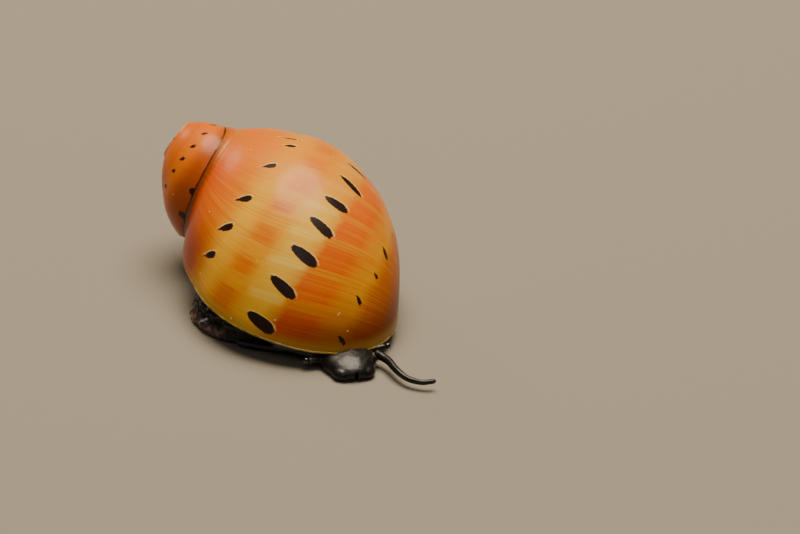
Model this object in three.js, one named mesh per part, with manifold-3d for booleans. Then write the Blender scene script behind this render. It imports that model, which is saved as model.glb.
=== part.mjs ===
// A nerite snail at rest, life size, in millimetres, +Z up, standing on the sole of its foot.
// The shell is a right-handed spiral of fast-growing whorls, the last of them cut off flat below
// by the plane of its mouth. The head looks towards -Y, the spire points back and to the left.

import * as THREE from 'three';
import { mergeVertices } from 'three/addons/utils/BufferGeometryUtils.js';
import Module from 'manifold-3d';

const wasm = await Module();
wasm.setup();

// Growth of the shell, per radian of turn. Turns are counted from near the mouth, and are
// negative towards the apex.
const SECTION_GROWTH = 0.143;
const DEPTH_GROWTH = 0.196;
const EARLY_SECTION_TAPER = 0.003;
const EARLY_DEPTH_TAPER = 0.001;

// The whorl's cross-section at turn 0: its centre, and its radius round that centre.
// The angle is 0 at the periphery, positive towards the apex.
const CENTRE_OUT = 2.46;
const CENTRE_DOWN = 20.3;
const SECTION_RADII = [
  [-93, 16.4],
  [-75, 16.0],
  [-58, 15.1],
  [-36, 13.4],
  [-11, 11.9],
  [22, 11.15],
  [44, 11.1],
  [71, 12.4],
  [77, 13.25],
  [88, 15.3],
];

// How the shell is carried: where its axis points, its turn about that axis, and its height.
const AXIS_AZIMUTH = 150.3;
const AXIS_RISE = 34.4;
const AXIS_SPIN = -50.4;
const APEX_HEIGHT = 10.6;

// The flat plane of the shell's mouth: its height below the apex and its slopes along X and Y.
const MOUTH_HEIGHT = 4.78;
const MOUTH_SLOPE_X = -0.124;
const MOUTH_SLOPE_Y = 0.088;

// How the base rounds under behind the mouth: its radius, how far outside the shell the cut
// starts, the middle that it is drawn about, and where it starts and is full, before the axis.
const BASE_RADIUS = 3.2;
const BASE_LEAVES = 0.04;
const BASE_OUTSIDE = 0.5;
const BASE_MIDDLE_X = 8.5;
const BASE_MIDDLE_Y = -7;
const BASE_STARTS = 1;
const BASE_FULL = -3;
const BASE_AROUND = 72;
const BASE_LEVELS = 7;
const BASE_FARTHEST = 17;
const BASE_SEARCH_STEP = 0.05;
const BASE_FINEST_STEP = 0.001;
const BASE_LOWEST = 0.02;

// The worn tip: a flat facet facing out along the axis, and its place before the apex.
const WORN_FACING = new THREE.Vector3(-0.834, 0.258, 0.486).normalize();
const WORN_PLACE = -0.25;

// The suture is looked for from this share of the section on, in steps of a share.
const SUTURE_SEARCH_FROM = 0.8;
const SUTURE_SEARCH_STEP = 0.004;
const SECTION_TABLE_STEPS = 160;

// Where the whorls begin and end, in half turns.
const LAST_WHORL_START = -1.8;
const LAST_WHORL_END = 0.3;
const FIRST_WHORL_START = -7.5;
const HOLLOW_START = -1.05;
const LONGEST_WHORL = 1.6;
const WHORL_OVERLAP = 0.1;
const CLEARANCE_OVERLAP = 0.03;

// How finely they are drawn: degrees from one section to the next, and faces across a section.
const WHORL_STEP = 9;
const WHORL_ACROSS = 22;
const SPIRE_STEP = 15;
const SPIRE_ACROSS = 14;

// Walls and clearances. Detail finer than the last value is left out of the solids.
const SHELL_WALL = 0.8;
const GAP = 0.3;
const HOLLOW_DEPTH = 3.6;
const BELOW_MOUTH = 1;
const CLOSE_TO_AXIS = 0.12;
const FINEST_DETAIL = 0.02;

// Rods down the axis, which fill the whorls where they meet: from and to below the apex, radius.
const BODY_CORE = [7.7, 12.5, 0.2];
const TIP_CORE = [0.2, 1.6, 0.9];
const CORE_AROUND = 16;

// The shelf of the inner lip: how far its edge lies from the shell's axis, and its thickness.
const DECK_EDGE = 5.6;
const HOLLOW_BACK = 0.9;
const DECK_THICKNESS = 1.0;
const DECK_RECESS = 0.2;

// The foot: its middle, the half length and half width of its sole, and how square its ends are.
const FOOT_MIDDLE = new THREE.Vector3(10.2, -11.0, 0);
const SOLE_HALF_LENGTH = 7.5;
const SOLE_HALF_WIDTH = 5.6;
const SOLE_SQUARENESS = 2.5;

// The foot's side, from the sole to the shell: share of the height, and share of the sole's size.
const FOOT_SIDE = [
  [0, 0.985],
  [0.1, 1.02],
  [0.24, 1.03],
  [0.36, 0.99],
  [0.44, 0.95],
  [0.56, 0.975],
  [0.75, 0.955],
  [0.9, 0.9],
  [1, 0.84],
];
const WRINKLES = 46;
const WRINKLE_DEPTH = 0.012;
const FOOT_AROUND = 92;

// What fills the mouth: the mantle's edge and the column of flesh, from and to over its plane.
const MANTLE_WIDTH = 0.6;
const MANTLE_HEIGHT = 1.2;
const COLUMN_BASE = -1.2;
const COLUMN_TOP = 3.1;

// The operculum: its thickness, and its share of the sole's size.
const OPERCULUM_THICKNESS = 0.7;
const OPERCULUM_SHARE = 0.8;
const OPERCULUM_AROUND = 40;

// The head: a low broad snout under the front of the lip.
const HEAD_MIDDLE = new THREE.Vector3(15.3, -17.6, 0.5);
const HEAD_FACING = -72;
const SNOUT_HALF_LENGTH = 3.5;
const SNOUT_HALF_WIDTH = 2.4;
const SNOUT_HALF_HEIGHT = 1.15;

// Its two soft lips and the slit of the mouth between them: half sizes, and place from its middle.
const LIP_HALF_SIZES = [1.05, 0.95, 0.62];
const LIP_FORWARD = 2.35;
const LIP_ASIDE = 0.85;
const LIP_DROP = 0.08;
const SLIT_HALF_SIZES = [0.9, 0.16, 0.5];
const SLIT_FORWARD = 3.3;
const SLIT_DROP = 0.12;
const SNOUT_AROUND = 36;
const LIP_AROUND = 24;
const SLIT_AROUND = 16;

// The feelers and eye stalks: radii, and the points that their middles run through.
const FEELER_STEPS = 26;
const STALK_STEPS = 6;
const FEELER_AROUND = 10;
const TENTACLE_BASE_RADIUS = 0.36;
const TENTACLE_TIP_RADIUS = 0.2;
const TENTACLE_RIGHT = [
  [13.3, -18.4, 0.82],
  [12.3, -17.95, 0.66],
  [11.0, -17.45, 0.52],
  [9.4, -17.22, 0.46],
  [7.8, -17.0, 0.46],
  [6.6, -16.72, 0.52],
];
const TENTACLE_LEFT = [
  [17.75, -17.75, 0.95],
  [18.7, -18.7, 0.95],
  [19.4, -19.9, 0.85],
  [20.3, -20.9, 0.72],
  [21.5, -21.3, 0.68],
  [22.6, -21.1, 0.8],
];

const EYE_RADIUS = 0.26;
const EYE_GAP = 0.2;
const STALK_RADIUS = 0.32;
const STALK_TAPER = 0.8;
const STALK_RIGHT = [[13.6, -18.85, 0.7], [12.75, -19.2, 0.78], [12.3, -19.4, 0.82]];
const STALK_LEFT = [[17.2, -17.0, 0.75], [18.15, -16.6, 0.9], [18.6, -16.4, 0.95]];

const FAR = 60;

const radians = THREE.MathUtils.degToRad;

// Solids

function solid(geometry) {
  const bare = geometry.index ? geometry.toNonIndexed() : geometry.clone();
  bare.deleteAttribute('normal');
  bare.deleteAttribute('uv');
  const welded = mergeVertices(bare, 1e-4);
  const triVerts = new Uint32Array(welded.index.array);
  const vertProperties = new Float32Array(welded.attributes.position.array);
  const body = new wasm.Manifold(new wasm.Mesh({ numProp: 3, vertProperties, triVerts }));
  return body;
}

function largest(body) {
  const pieces = body.decompose();
  pieces.sort((a, b) => b.volume() - a.volume());
  return pieces[0];
}

function geometryOf(body) {
  const mesh = largest(largest(body).asOriginal().simplify(FINEST_DETAIL)).getMesh();
  const geometry = new THREE.BufferGeometry();
  geometry.setAttribute('position', new THREE.BufferAttribute(new Float32Array(mesh.vertProperties), 3));
  geometry.setIndex(new THREE.BufferAttribute(new Uint32Array(mesh.triVerts), 1));
  return geometry;
}

// A closed skin over rows of points, each row a closed loop, the two end rows capped by fans.
function loft(rows) {
  const around = rows[0].length;
  const points = rows.flat();
  const faces = [];
  for (let i = 0; i < rows.length - 1; i++) {
    for (let j = 0; j < around; j++) {
      const k = (j + 1) % around;
      const a = i * around + j;
      const b = i * around + k;
      const c = (i + 1) * around + k;
      const d = (i + 1) * around + j;
      faces.push(a, b, c, a, c, d);
    }
  }
  const middle = (row) => row.reduce((sum, p) => sum.add(p), new THREE.Vector3()).divideScalar(around);
  const first = points.push(middle(rows[0])) - 1;
  const last = points.push(middle(rows[rows.length - 1])) - 1;
  const lastRow = (rows.length - 1) * around;
  for (let j = 0; j < around; j++) {
    const k = (j + 1) % around;
    faces.push(first, k, j);
    faces.push(last, lastRow + j, lastRow + k);
  }
  const geometry = new THREE.BufferGeometry().setFromPoints(points);
  geometry.setIndex(signedVolume(points, faces) < 0 ? faces.reverse() : faces);
  return geometry;
}

function signedVolume(points, faces) {
  let sum = 0;
  const cross = new THREE.Vector3();
  for (let i = 0; i < faces.length; i += 3) {
    cross.crossVectors(points[faces[i + 1]], points[faces[i + 2]]);
    sum += points[faces[i]].dot(cross);
  }
  return sum / 6;
}

// The shell's own frame: apex at the origin, +Z out of the apex.
function shellFrame() {
  const azimuth = radians(AXIS_AZIMUTH);
  const rise = radians(AXIS_RISE);
  const spin = radians(AXIS_SPIN);
  const axis = new THREE.Vector3(
    Math.cos(rise) * Math.cos(azimuth),
    Math.cos(rise) * Math.sin(azimuth),
    Math.sin(rise),
  );
  const level = new THREE.Vector3(-Math.sin(azimuth), Math.cos(azimuth), 0);
  const upward = new THREE.Vector3().crossVectors(axis, level);
  const start = level.clone().multiplyScalar(Math.cos(spin)).addScaledVector(upward, Math.sin(spin));
  const side = level.clone().multiplyScalar(-Math.sin(spin)).addScaledVector(upward, Math.cos(spin));
  return new THREE.Matrix4().makeBasis(start, side, axis).setPosition(0, 0, APEX_HEIGHT);
}

const SHELL_FRAME = shellFrame();
const SECTION = new THREE.SplineCurve(SECTION_RADII.map(([angle, radius]) => new THREE.Vector2(angle, radius)));
const SECTION_TABLE = SECTION.getPoints(SECTION_TABLE_STEPS);

// How big the section is at a turn, and where its middle lies.
function growth(turn) {
  const early = Math.min(turn + Math.PI, 0) ** 2;
  const scale = Math.exp(SECTION_GROWTH * turn - EARLY_SECTION_TAPER * early);
  const depth = Math.exp(DEPTH_GROWTH * turn - EARLY_DEPTH_TAPER * early);
  return { scale, out: scale * CENTRE_OUT, down: depth * CENTRE_DOWN };
}

// A point of the whorl's outer face, at a turn and a share of the way round the section.
function whorlPoint(turn, share, grow) {
  const { scale, out, down } = growth(turn);
  const { x: angle, y: radius } = SECTION.getPoint(share);
  const lie = radians(angle);
  const reach = scale * radius + grow;
  return {
    out: Math.max(out + reach * Math.cos(lie), CLOSE_TO_AXIS),
    down: down - reach * Math.sin(lie),
  };
}

function insideWhorl(turn, point) {
  const { scale, out, down } = growth(turn);
  const rise = down - point.down;
  const angle = THREE.MathUtils.radToDeg(Math.atan2(rise, point.out - out));
  const after = SECTION_TABLE.findIndex((entry) => entry.x >= angle);
  const there = SECTION_TABLE.at(after);
  const here = SECTION_TABLE.at(Math.max(after - 1, after < 0 ? -1 : 0));
  const share = THREE.MathUtils.clamp((angle - here.x) / (there.x - here.x || 1), 0, 1);
  return Math.hypot(rise, point.out - out) < scale * THREE.MathUtils.lerp(here.y, there.y, share);
}

// The share of the section at which a whorl's wall runs into the whorl before it.
function sutureShare(turn) {
  let share = SUTURE_SEARCH_FROM;
  while (share < 1 && !insideWhorl(turn - 2 * Math.PI, whorlPoint(turn, share, 0))) {
    share += SUTURE_SEARCH_STEP;
  }
  return Math.min(share, 1);
}

function placed(turn, out, down) {
  return new THREE.Vector3(out * Math.cos(turn), -out * Math.sin(turn), -down).applyMatrix4(SHELL_FRAME);
}

// A length of whorl, solid from its outer face to the shell's axis. Turns are in half turns.
function whorl(from, to, grow, step, across) {
  const count = Math.ceil((to - from) * 180 / step);
  const rows = [];
  for (let i = 0; i <= count; i++) {
    const turn = Math.PI * (from + (to - from) * i / count);
    const suture = sutureShare(turn);
    const row = [];
    for (let j = 0; j <= across; j++) {
      const { out, down } = whorlPoint(turn, suture * j / across, grow);
      row.push(placed(turn, out, down));
    }
    const top = whorlPoint(turn, suture, grow).down;
    const base = whorlPoint(turn, 0, grow).down;
    row.push(placed(turn, CLOSE_TO_AXIS, top));
    row.push(placed(turn, CLOSE_TO_AXIS, base));
    rows.push(row);
  }
  return solid(loft(rows));
}

// Whorls longer than most of a turn are joined from shorter lengths that overlap a little.
function whorls(from, to, grow, step, across) {
  const overlap = step / 180;
  let body = null;
  for (let start = from; start < to; start += LONGEST_WHORL) {
    const end = Math.min(start + LONGEST_WHORL + overlap, to);
    const piece = whorl(start, end, grow, step, across);
    body = body ? body.add(piece) : piece;
  }
  return body;
}

function axisRod([fromDown, toDown, radius]) {
  const rod = new THREE.CylinderGeometry(radius, radius, toDown - fromDown, CORE_AROUND);
  rod.rotateX(Math.PI / 2);
  rod.translate(0, 0, -(fromDown + toDown) / 2);
  rod.applyMatrix4(SHELL_FRAME);
  return solid(rod);
}

// The mouth's plane

const MOUTH_UP = new THREE.Vector3(-MOUTH_SLOPE_X, -MOUTH_SLOPE_Y, 1).normalize();

function mouthHeight(x, y) {
  return MOUTH_HEIGHT + MOUTH_SLOPE_X * x + MOUTH_SLOPE_Y * y;
}

// A wide slab between two heights over the mouth's plane.
function overMouth(low, high) {
  const slab = new THREE.BoxGeometry(2 * FAR, 2 * FAR, high - low);
  slab.translate(0, 0, (low + high) / 2);
  slab.applyQuaternion(new THREE.Quaternion().setFromUnitVectors(new THREE.Vector3(0, 0, 1), MOUTH_UP));
  slab.translate(0, 0, MOUTH_HEIGHT);
  return solid(slab);
}

// The block behind a line that runs along the shell's axis, seen from above.
function behindDeckEdge(distance) {
  const block = new THREE.BoxGeometry(2 * FAR, FAR, 2 * FAR);
  block.translate(0, FAR / 2 - distance, 0);
  block.rotateZ(radians(AXIS_AZIMUTH - 180));
  return solid(block);
}

function beyondWornTip() {
  const block = new THREE.BoxGeometry(FAR, FAR, FAR);
  block.translate(0, 0, FAR / 2 + WORN_PLACE);
  block.applyQuaternion(new THREE.Quaternion().setFromUnitVectors(new THREE.Vector3(0, 0, 1), WORN_FACING));
  block.translate(0, 0, APEX_HEIGHT);
  return solid(block);
}

const INTO_SHELL_FRAME = SHELL_FRAME.clone().invert();

function insideShell(point) {
  const local = point.clone().applyMatrix4(INTO_SHELL_FRAME);
  const place = { out: Math.hypot(local.x, local.y), down: -local.z };
  const azimuth = Math.atan2(-local.y, local.x);
  for (let lap = Math.floor(FIRST_WHORL_START / 2); lap <= 0; lap++) {
    const turn = azimuth + 2 * Math.PI * lap;
    if (turn < LAST_WHORL_END * Math.PI && insideWhorl(turn, place)) {
      return true;
    }
  }
  return false;
}

// The solid that the shell is kept within: its own outline over the mouth, drawn in near the base.
function roundedBase() {
  const level = new THREE.Vector3(1, 0, MOUTH_SLOPE_X).normalize();
  const across = new THREE.Vector3().crossVectors(MOUTH_UP, level);
  const azimuth = radians(AXIS_AZIMUTH);
  const forward = new THREE.Vector3(-Math.sin(azimuth), Math.cos(azimuth), 0);
  const at = (angle, reach, height) => (
    new THREE.Vector3(BASE_MIDDLE_X, BASE_MIDDLE_Y, mouthHeight(BASE_MIDDLE_X, BASE_MIDDLE_Y))
      .addScaledVector(MOUTH_UP, height)
      .addScaledVector(level, reach * Math.cos(angle))
      .addScaledVector(across, reach * Math.sin(angle))
  );
  const outline = (angle, height) => {
    const inside = (reach) => insideShell(at(angle, reach, Math.max(height, BASE_LOWEST)));
    let reach = BASE_FARTHEST;
    while (reach > 0 && !inside(reach)) {
      reach -= BASE_SEARCH_STEP;
    }
    for (let step = BASE_SEARCH_STEP / 2; step > BASE_FINEST_STEP; step /= 2) {
      reach += inside(reach + step) ? step : 0;
    }
    return reach;
  };
  const angles = Array.from({ length: BASE_AROUND }, (_, j) => 2 * Math.PI * j / BASE_AROUND);
  const shares = angles.map((angle) => {
    const before = at(angle, outline(angle, 0), 0).dot(forward);
    return 1 - THREE.MathUtils.smoothstep(before, BASE_FULL, BASE_STARTS);
  });
  const rows = [];
  for (let i = 0; i <= BASE_LEVELS; i++) {
    const height = BASE_RADIUS * i / BASE_LEVELS;
    const inset = BASE_RADIUS * (1 - Math.sqrt(1 - (1 - height / BASE_RADIUS) ** 2));
    const beyond = BASE_LEAVES * height / BASE_RADIUS;
    rows.push(angles.map((angle, j) => {
      const drawnIn = shares[j] * (inset - beyond + BASE_OUTSIDE) - BASE_OUTSIDE;
      return at(angle, outline(angle, height) - drawnIn, height);
    }));
  }
  rows.push(angles.map((angle) => at(angle, BASE_FARTHEST, BASE_RADIUS + BASE_LOWEST)));
  rows.push(angles.map((angle) => at(angle, BASE_FARTHEST, FAR)));
  return solid(loft(rows));
}

// Shell

const aboveMouth = overMouth(0, FAR).intersect(roundedBase());
const lastWhorl = whorls(LAST_WHORL_START, LAST_WHORL_END, 0, WHORL_STEP, WHORL_ACROSS).add(axisRod(BODY_CORE));
const hollow = whorl(HOLLOW_START, LAST_WHORL_END, -SHELL_WALL, WHORL_STEP, WHORL_ACROSS)
  .intersect(overMouth(-BELOW_MOUTH, HOLLOW_DEPTH))
  .subtract(behindDeckEdge(HOLLOW_BACK));
const bodyWhorl = lastWhorl.intersect(aboveMouth).subtract(hollow);

const clearanceStart = LAST_WHORL_START - CLEARANCE_OVERLAP;
const spireClearance = whorls(clearanceStart, LAST_WHORL_END, GAP, WHORL_STEP, WHORL_ACROSS);
const spire = whorls(FIRST_WHORL_START, LAST_WHORL_START + WHORL_OVERLAP, 0, SPIRE_STEP, SPIRE_ACROSS)
  .add(axisRod(TIP_CORE))
  .subtract(spireClearance)
  .subtract(beyondWornTip())
  .intersect(aboveMouth);

const deck = whorl(HOLLOW_START, LAST_WHORL_END, -SHELL_WALL - GAP, WHORL_STEP, WHORL_ACROSS)
  .intersect(overMouth(DECK_RECESS, DECK_RECESS + DECK_THICKNESS))
  .intersect(behindDeckEdge(DECK_EDGE))
  .subtract(behindDeckEdge(HOLLOW_BACK + GAP));

// Flesh

// A point on the foot's outline, at an angle round it and a share of the sole's size.
function soleEdge(angle, share) {
  const c = Math.cos(angle);
  const q = Math.sin(angle);
  const power = SOLE_SQUARENESS;
  const round = (Math.abs(c / SOLE_HALF_LENGTH) ** power + Math.abs(q / SOLE_HALF_WIDTH) ** power) ** (-1 / power);
  return new THREE.Vector3(c, q, 0).multiplyScalar(round * share).add(FOOT_MIDDLE);
}

function footPad() {
  const rows = FOOT_SIDE.map(([height, share], level) => {
    const row = [];
    for (let j = 0; j < FOOT_AROUND; j++) {
      const angle = 2 * Math.PI * j / FOOT_AROUND;
      const fold = level === 0 ? 0 : WRINKLE_DEPTH * Math.cos(WRINKLES * angle + level);
      const point = soleEdge(angle, share + fold);
      point.z = height * (mouthHeight(point.x, point.y) - GAP);
      row.push(point);
    }
    return row;
  });
  return solid(loft(rows));
}

function operculumPlate() {
  const low = -GAP - OPERCULUM_THICKNESS;
  const rows = [low, low + OPERCULUM_THICKNESS].map((lift) => {
    const row = [];
    for (let j = 0; j < OPERCULUM_AROUND; j++) {
      const point = soleEdge(2 * Math.PI * j / OPERCULUM_AROUND, OPERCULUM_SHARE);
      point.z = mouthHeight(point.x, point.y) + lift;
      row.push(point);
    }
    return row;
  });
  return solid(loft(rows));
}

// An ellipsoid in the head's own frame: +X forward from its middle, +Y to its left.
function headBall([long, wide, high], forward, aside, drop, around) {
  const ball = new THREE.SphereGeometry(1, around, around / 2);
  ball.scale(long, wide, high);
  ball.translate(forward, aside, -drop);
  ball.rotateZ(radians(HEAD_FACING));
  ball.translate(HEAD_MIDDLE.x, HEAD_MIDDLE.y, HEAD_MIDDLE.z);
  return solid(ball);
}

function snout(grow) {
  const sizes = [SNOUT_HALF_LENGTH + grow, SNOUT_HALF_WIDTH + grow, SNOUT_HALF_HEIGHT + grow];
  return headBall(sizes, 0, 0, 0, SNOUT_AROUND);
}

// The whole head: the snout with its two lips, parted by the slit of the mouth.
function wholeHead() {
  return snout(0)
    .add(headBall(LIP_HALF_SIZES, LIP_FORWARD, LIP_ASIDE, LIP_DROP, LIP_AROUND))
    .add(headBall(LIP_HALF_SIZES, LIP_FORWARD, -LIP_ASIDE, LIP_DROP, LIP_AROUND))
    .subtract(headBall(SLIT_HALF_SIZES, SLIT_FORWARD, 0, SLIT_DROP, SLIT_AROUND));
}

// A tapering feeler along a curve, round at its tip.
function feeler(points, fromRadius, toRadius, steps) {
  const path = new THREE.CatmullRomCurve3(points.map(([x, y, z]) => new THREE.Vector3(x, y, z)));
  const frames = path.computeFrenetFrames(steps, false);
  const rows = [];
  const ring = (middle, radius, index) => {
    const row = [];
    for (let j = 0; j < FEELER_AROUND; j++) {
      const angle = 2 * Math.PI * j / FEELER_AROUND;
      row.push(middle.clone()
        .addScaledVector(frames.normals[index], radius * Math.cos(angle))
        .addScaledVector(frames.binormals[index], radius * Math.sin(angle)));
    }
    return row;
  };
  for (let i = 0; i <= steps; i++) {
    const share = i / steps;
    rows.push(ring(path.getPointAt(share), THREE.MathUtils.lerp(fromRadius, toRadius, share), i));
  }
  const tip = path.getPointAt(1);
  for (const rise of [0.4, 0.75, 0.95]) {
    const middle = tip.clone().addScaledVector(frames.tangents[steps], toRadius * rise);
    rows.push(ring(middle, toRadius * Math.sqrt(1 - rise * rise), steps));
  }
  return solid(loft(rows));
}

// The last point of a stalk is the middle of its eye.
function eyeball(stalk, grow) {
  const ball = new THREE.SphereGeometry(EYE_RADIUS + grow, 16, 10);
  ball.translate(...stalk[stalk.length - 1]);
  return solid(ball);
}

function eyeStalk(stalk) {
  return feeler(stalk, STALK_RADIUS, STALK_RADIUS * STALK_TAPER, STALK_STEPS).subtract(eyeball(stalk, EYE_GAP));
}

const underFloor = (() => {
  const block = new THREE.BoxGeometry(2 * FAR, 2 * FAR, FAR);
  block.translate(0, 0, -FAR / 2);
  return solid(block);
})();

const shellClearance = whorls(LAST_WHORL_START, LAST_WHORL_END, GAP, WHORL_STEP, WHORL_ACROSS)
  .intersect(overMouth(-GAP, FAR));
const inMouth = overMouth(COLUMN_BASE, COLUMN_TOP).subtract(behindDeckEdge(DECK_EDGE + GAP));
const mantleIn = -SHELL_WALL - GAP;
const columnIn = mantleIn - MANTLE_WIDTH - GAP;

const mantle = whorl(HOLLOW_START, LAST_WHORL_END, mantleIn, WHORL_STEP, WHORL_ACROSS)
  .intersect(overMouth(DECK_RECESS, DECK_RECESS + MANTLE_HEIGHT))
  .subtract(behindDeckEdge(DECK_EDGE + GAP))
  .subtract(whorl(HOLLOW_START, LAST_WHORL_END, mantleIn - MANTLE_WIDTH, WHORL_STEP, WHORL_ACROSS));

const column = whorl(HOLLOW_START, LAST_WHORL_END, columnIn, WHORL_STEP, WHORL_ACROSS).intersect(inMouth);
const operculumRoom = overMouth(-2 * GAP - OPERCULUM_THICKNESS, FAR).intersect(behindDeckEdge(DECK_EDGE + GAP));
const headClearance = snout(GAP);
const tentacle = (points, grow) => (
  feeler(points, TENTACLE_BASE_RADIUS + grow, TENTACLE_TIP_RADIUS + grow, FEELER_STEPS)
);
const foot = footPad()
  .subtract(shellClearance)
  .add(column)
  .subtract(operculumRoom)
  .subtract(headClearance)
  .subtract(tentacle(TENTACLE_RIGHT, GAP));
const operculum = operculumPlate().intersect(behindDeckEdge(DECK_EDGE)).subtract(headClearance);

const head = wholeHead().subtract(underFloor).subtract(shellClearance);

// Assembly

const snail = new THREE.Group();

function addPart(name, body, colour, roughness) {
  const material = new THREE.MeshStandardMaterial({ color: colour, roughness, metalness: 0 });
  const mesh = new THREE.Mesh(geometryOf(body), material);
  mesh.name = name;
  snail.add(mesh);
}

const FLESH = 0x1b1614;
const SHELL = 0xe88a14;
addPart('shell_body_whorl', bodyWhorl, SHELL, 0.25);
addPart('shell_spire', spire, 0xd9701c, 0.3);
addPart('shell_inner_lip', deck, 0xf0dcae, 0.35);
addPart('operculum', operculum, 0x6d5a48, 0.4);
addPart('mantle_edge', mantle, FLESH, 0.4);
addPart('foot', foot, FLESH, 0.35);
addPart('head', head, FLESH, 0.3);
addPart('tentacle_right', tentacle(TENTACLE_RIGHT, 0).subtract(headClearance), FLESH, 0.3);
addPart('tentacle_left', tentacle(TENTACLE_LEFT, 0).subtract(headClearance), FLESH, 0.3);
addPart('eye_stalk_right', eyeStalk(STALK_RIGHT).subtract(headClearance), FLESH, 0.3);
addPart('eye_stalk_left', eyeStalk(STALK_LEFT).subtract(headClearance), FLESH, 0.3);
addPart('eye_right', eyeball(STALK_RIGHT, 0), 0x050505, 0.1);
addPart('eye_left', eyeball(STALK_LEFT, 0), 0x050505, 0.1);

// The origin is the middle of the floor under the whole animal.
const room = new THREE.Box3().setFromObject(snail);
snail.position.set(-(room.min.x + room.max.x) / 2, -(room.min.y + room.max.y) / 2, 0);

export default snail;
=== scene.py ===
"""A nerite snail at rest, life size: its shell, lips, operculum, wet flesh and eyes."""

import logging
import math
from collections.abc import Iterable
from dataclasses import dataclass, field
from enum import Enum

import bmesh
import bpy
import numpy as np
from mathutils import Matrix, Quaternion, Vector, noise
from mathutils.kdtree import KDTree


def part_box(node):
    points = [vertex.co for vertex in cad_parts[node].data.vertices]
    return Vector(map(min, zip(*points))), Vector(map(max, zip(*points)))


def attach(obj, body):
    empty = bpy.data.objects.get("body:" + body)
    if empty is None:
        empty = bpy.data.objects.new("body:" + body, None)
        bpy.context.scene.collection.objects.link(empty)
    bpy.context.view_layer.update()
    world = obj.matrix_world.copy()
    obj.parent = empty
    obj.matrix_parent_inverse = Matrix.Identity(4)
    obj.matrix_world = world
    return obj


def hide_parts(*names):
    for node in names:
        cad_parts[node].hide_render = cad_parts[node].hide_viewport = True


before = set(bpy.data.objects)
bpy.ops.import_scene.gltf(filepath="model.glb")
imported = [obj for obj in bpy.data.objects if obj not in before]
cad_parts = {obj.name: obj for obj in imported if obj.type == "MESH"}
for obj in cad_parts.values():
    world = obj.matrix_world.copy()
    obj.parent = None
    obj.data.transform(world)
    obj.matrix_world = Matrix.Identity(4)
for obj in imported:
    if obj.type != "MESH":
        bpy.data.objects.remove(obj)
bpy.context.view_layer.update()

MM = 0.001
FAR = 60.0
UP = Vector((0, 0, 1))
log = logging.getLogger("nerite")

# Where the left eye's middle lies before the solids were centred on the floor, in millimetres.
LEFT_EYE = Vector((18.6, -16.4, 0))

# The places and sRGB hex colours of a colour ramp.
Stops = tuple[tuple[float, str], ...]


class Cut(Enum):
    """How one closed solid works on another."""

    JOIN = "UNION"
    KEEP = "INTERSECT"
    TAKE = "DIFFERENCE"


# Helpers for meshes and nodes


def centring() -> Vector:
    """Finds how far the solids were moved when they were centred, from the left eye's box.

    Returns:
        The move in millimetres.
    """
    low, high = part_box("eye_left")
    middle = (Vector(low) + Vector(high)) / 2 / MM
    return Vector((middle.x - LEFT_EYE.x, middle.y - LEFT_EYE.y, 0))


def linear(hex_colour: str) -> tuple[float, float, float, float]:
    """Turns an sRGB hex colour into the linear colour that a shader wants.

    Args:
        hex_colour: six hex digits after a hash.

    Returns:
        Red, green, blue and an alpha of one.
    """
    parts = [int(hex_colour[i:i + 2], 16) / 255 for i in (1, 3, 5)]
    red, green, blue = [p / 12.92 if p <= 0.04045 else ((p + 0.055) / 1.055) ** 2.4 for p in parts]
    return (red, green, blue, 1.0)


def fill(tree: bpy.types.NodeTree, node: bpy.types.Node, inputs: dict) -> None:
    """Fills or links the inputs of a node.

    Args:
        tree: the node tree.
        node: the node.
        inputs: a value or another node's output for each input, by name or number.
    """
    for key, value in inputs.items():
        if isinstance(value, bpy.types.NodeSocket):
            tree.links.new(value, node.inputs[key])
        else:
            node.inputs[key].default_value = value


def add_node(tree: bpy.types.NodeTree, kind: str, inputs: dict | None = None,
             stops: Stops | None = None, **settings: object) -> bpy.types.Node:
    """Adds a node, sets it up, and fills or links its inputs.

    Args:
        tree: the node tree.
        kind: the node's type name.
        inputs: a value or another node's output for each input, by name or number.
        stops: the places and hex colours of a colour ramp.
        settings: the node's own properties.

    Returns:
        The new node.
    """
    made = tree.nodes.new(kind)
    for name, value in settings.items():
        setattr(made, name, value)
    if stops:
        ramp = made.color_ramp.elements
        while len(ramp) < len(stops):
            ramp.new(1.0)
        for element, (place, colour) in zip(ramp, stops):
            element.position = place
            element.color = linear(colour)
    fill(tree, made, inputs or {})
    return made


def new_material(name: str) -> tuple[bpy.types.Material, bpy.types.NodeTree, bpy.types.Node]:
    """Makes a material with a bare Principled shader.

    Args:
        name: the material's name.

    Returns:
        The material, its node tree and its shader.
    """
    material = bpy.data.materials.new(name)
    material.use_nodes = True
    tree = material.node_tree
    shader = tree.nodes["Principled BSDF"]
    return material, tree, shader


def mesh_of(points: np.ndarray, faces: list, name: str = "work") -> bpy.types.Mesh:
    """Makes a mesh with its doubles merged and its faces turned outwards.

    Args:
        points: the points.
        faces: the numbers of each face's points.
        name: the mesh's name.

    Returns:
        The mesh.
    """
    mesh = bpy.data.meshes.new(name)
    mesh.from_pydata(points.tolist(), [], faces)
    mesh.validate()
    work = bmesh.new()
    work.from_mesh(mesh)
    bmesh.ops.remove_doubles(work, verts=work.verts, dist=1e-6)
    bmesh.ops.recalc_face_normals(work, faces=work.faces)
    work.to_mesh(mesh)
    work.free()
    return mesh


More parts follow.
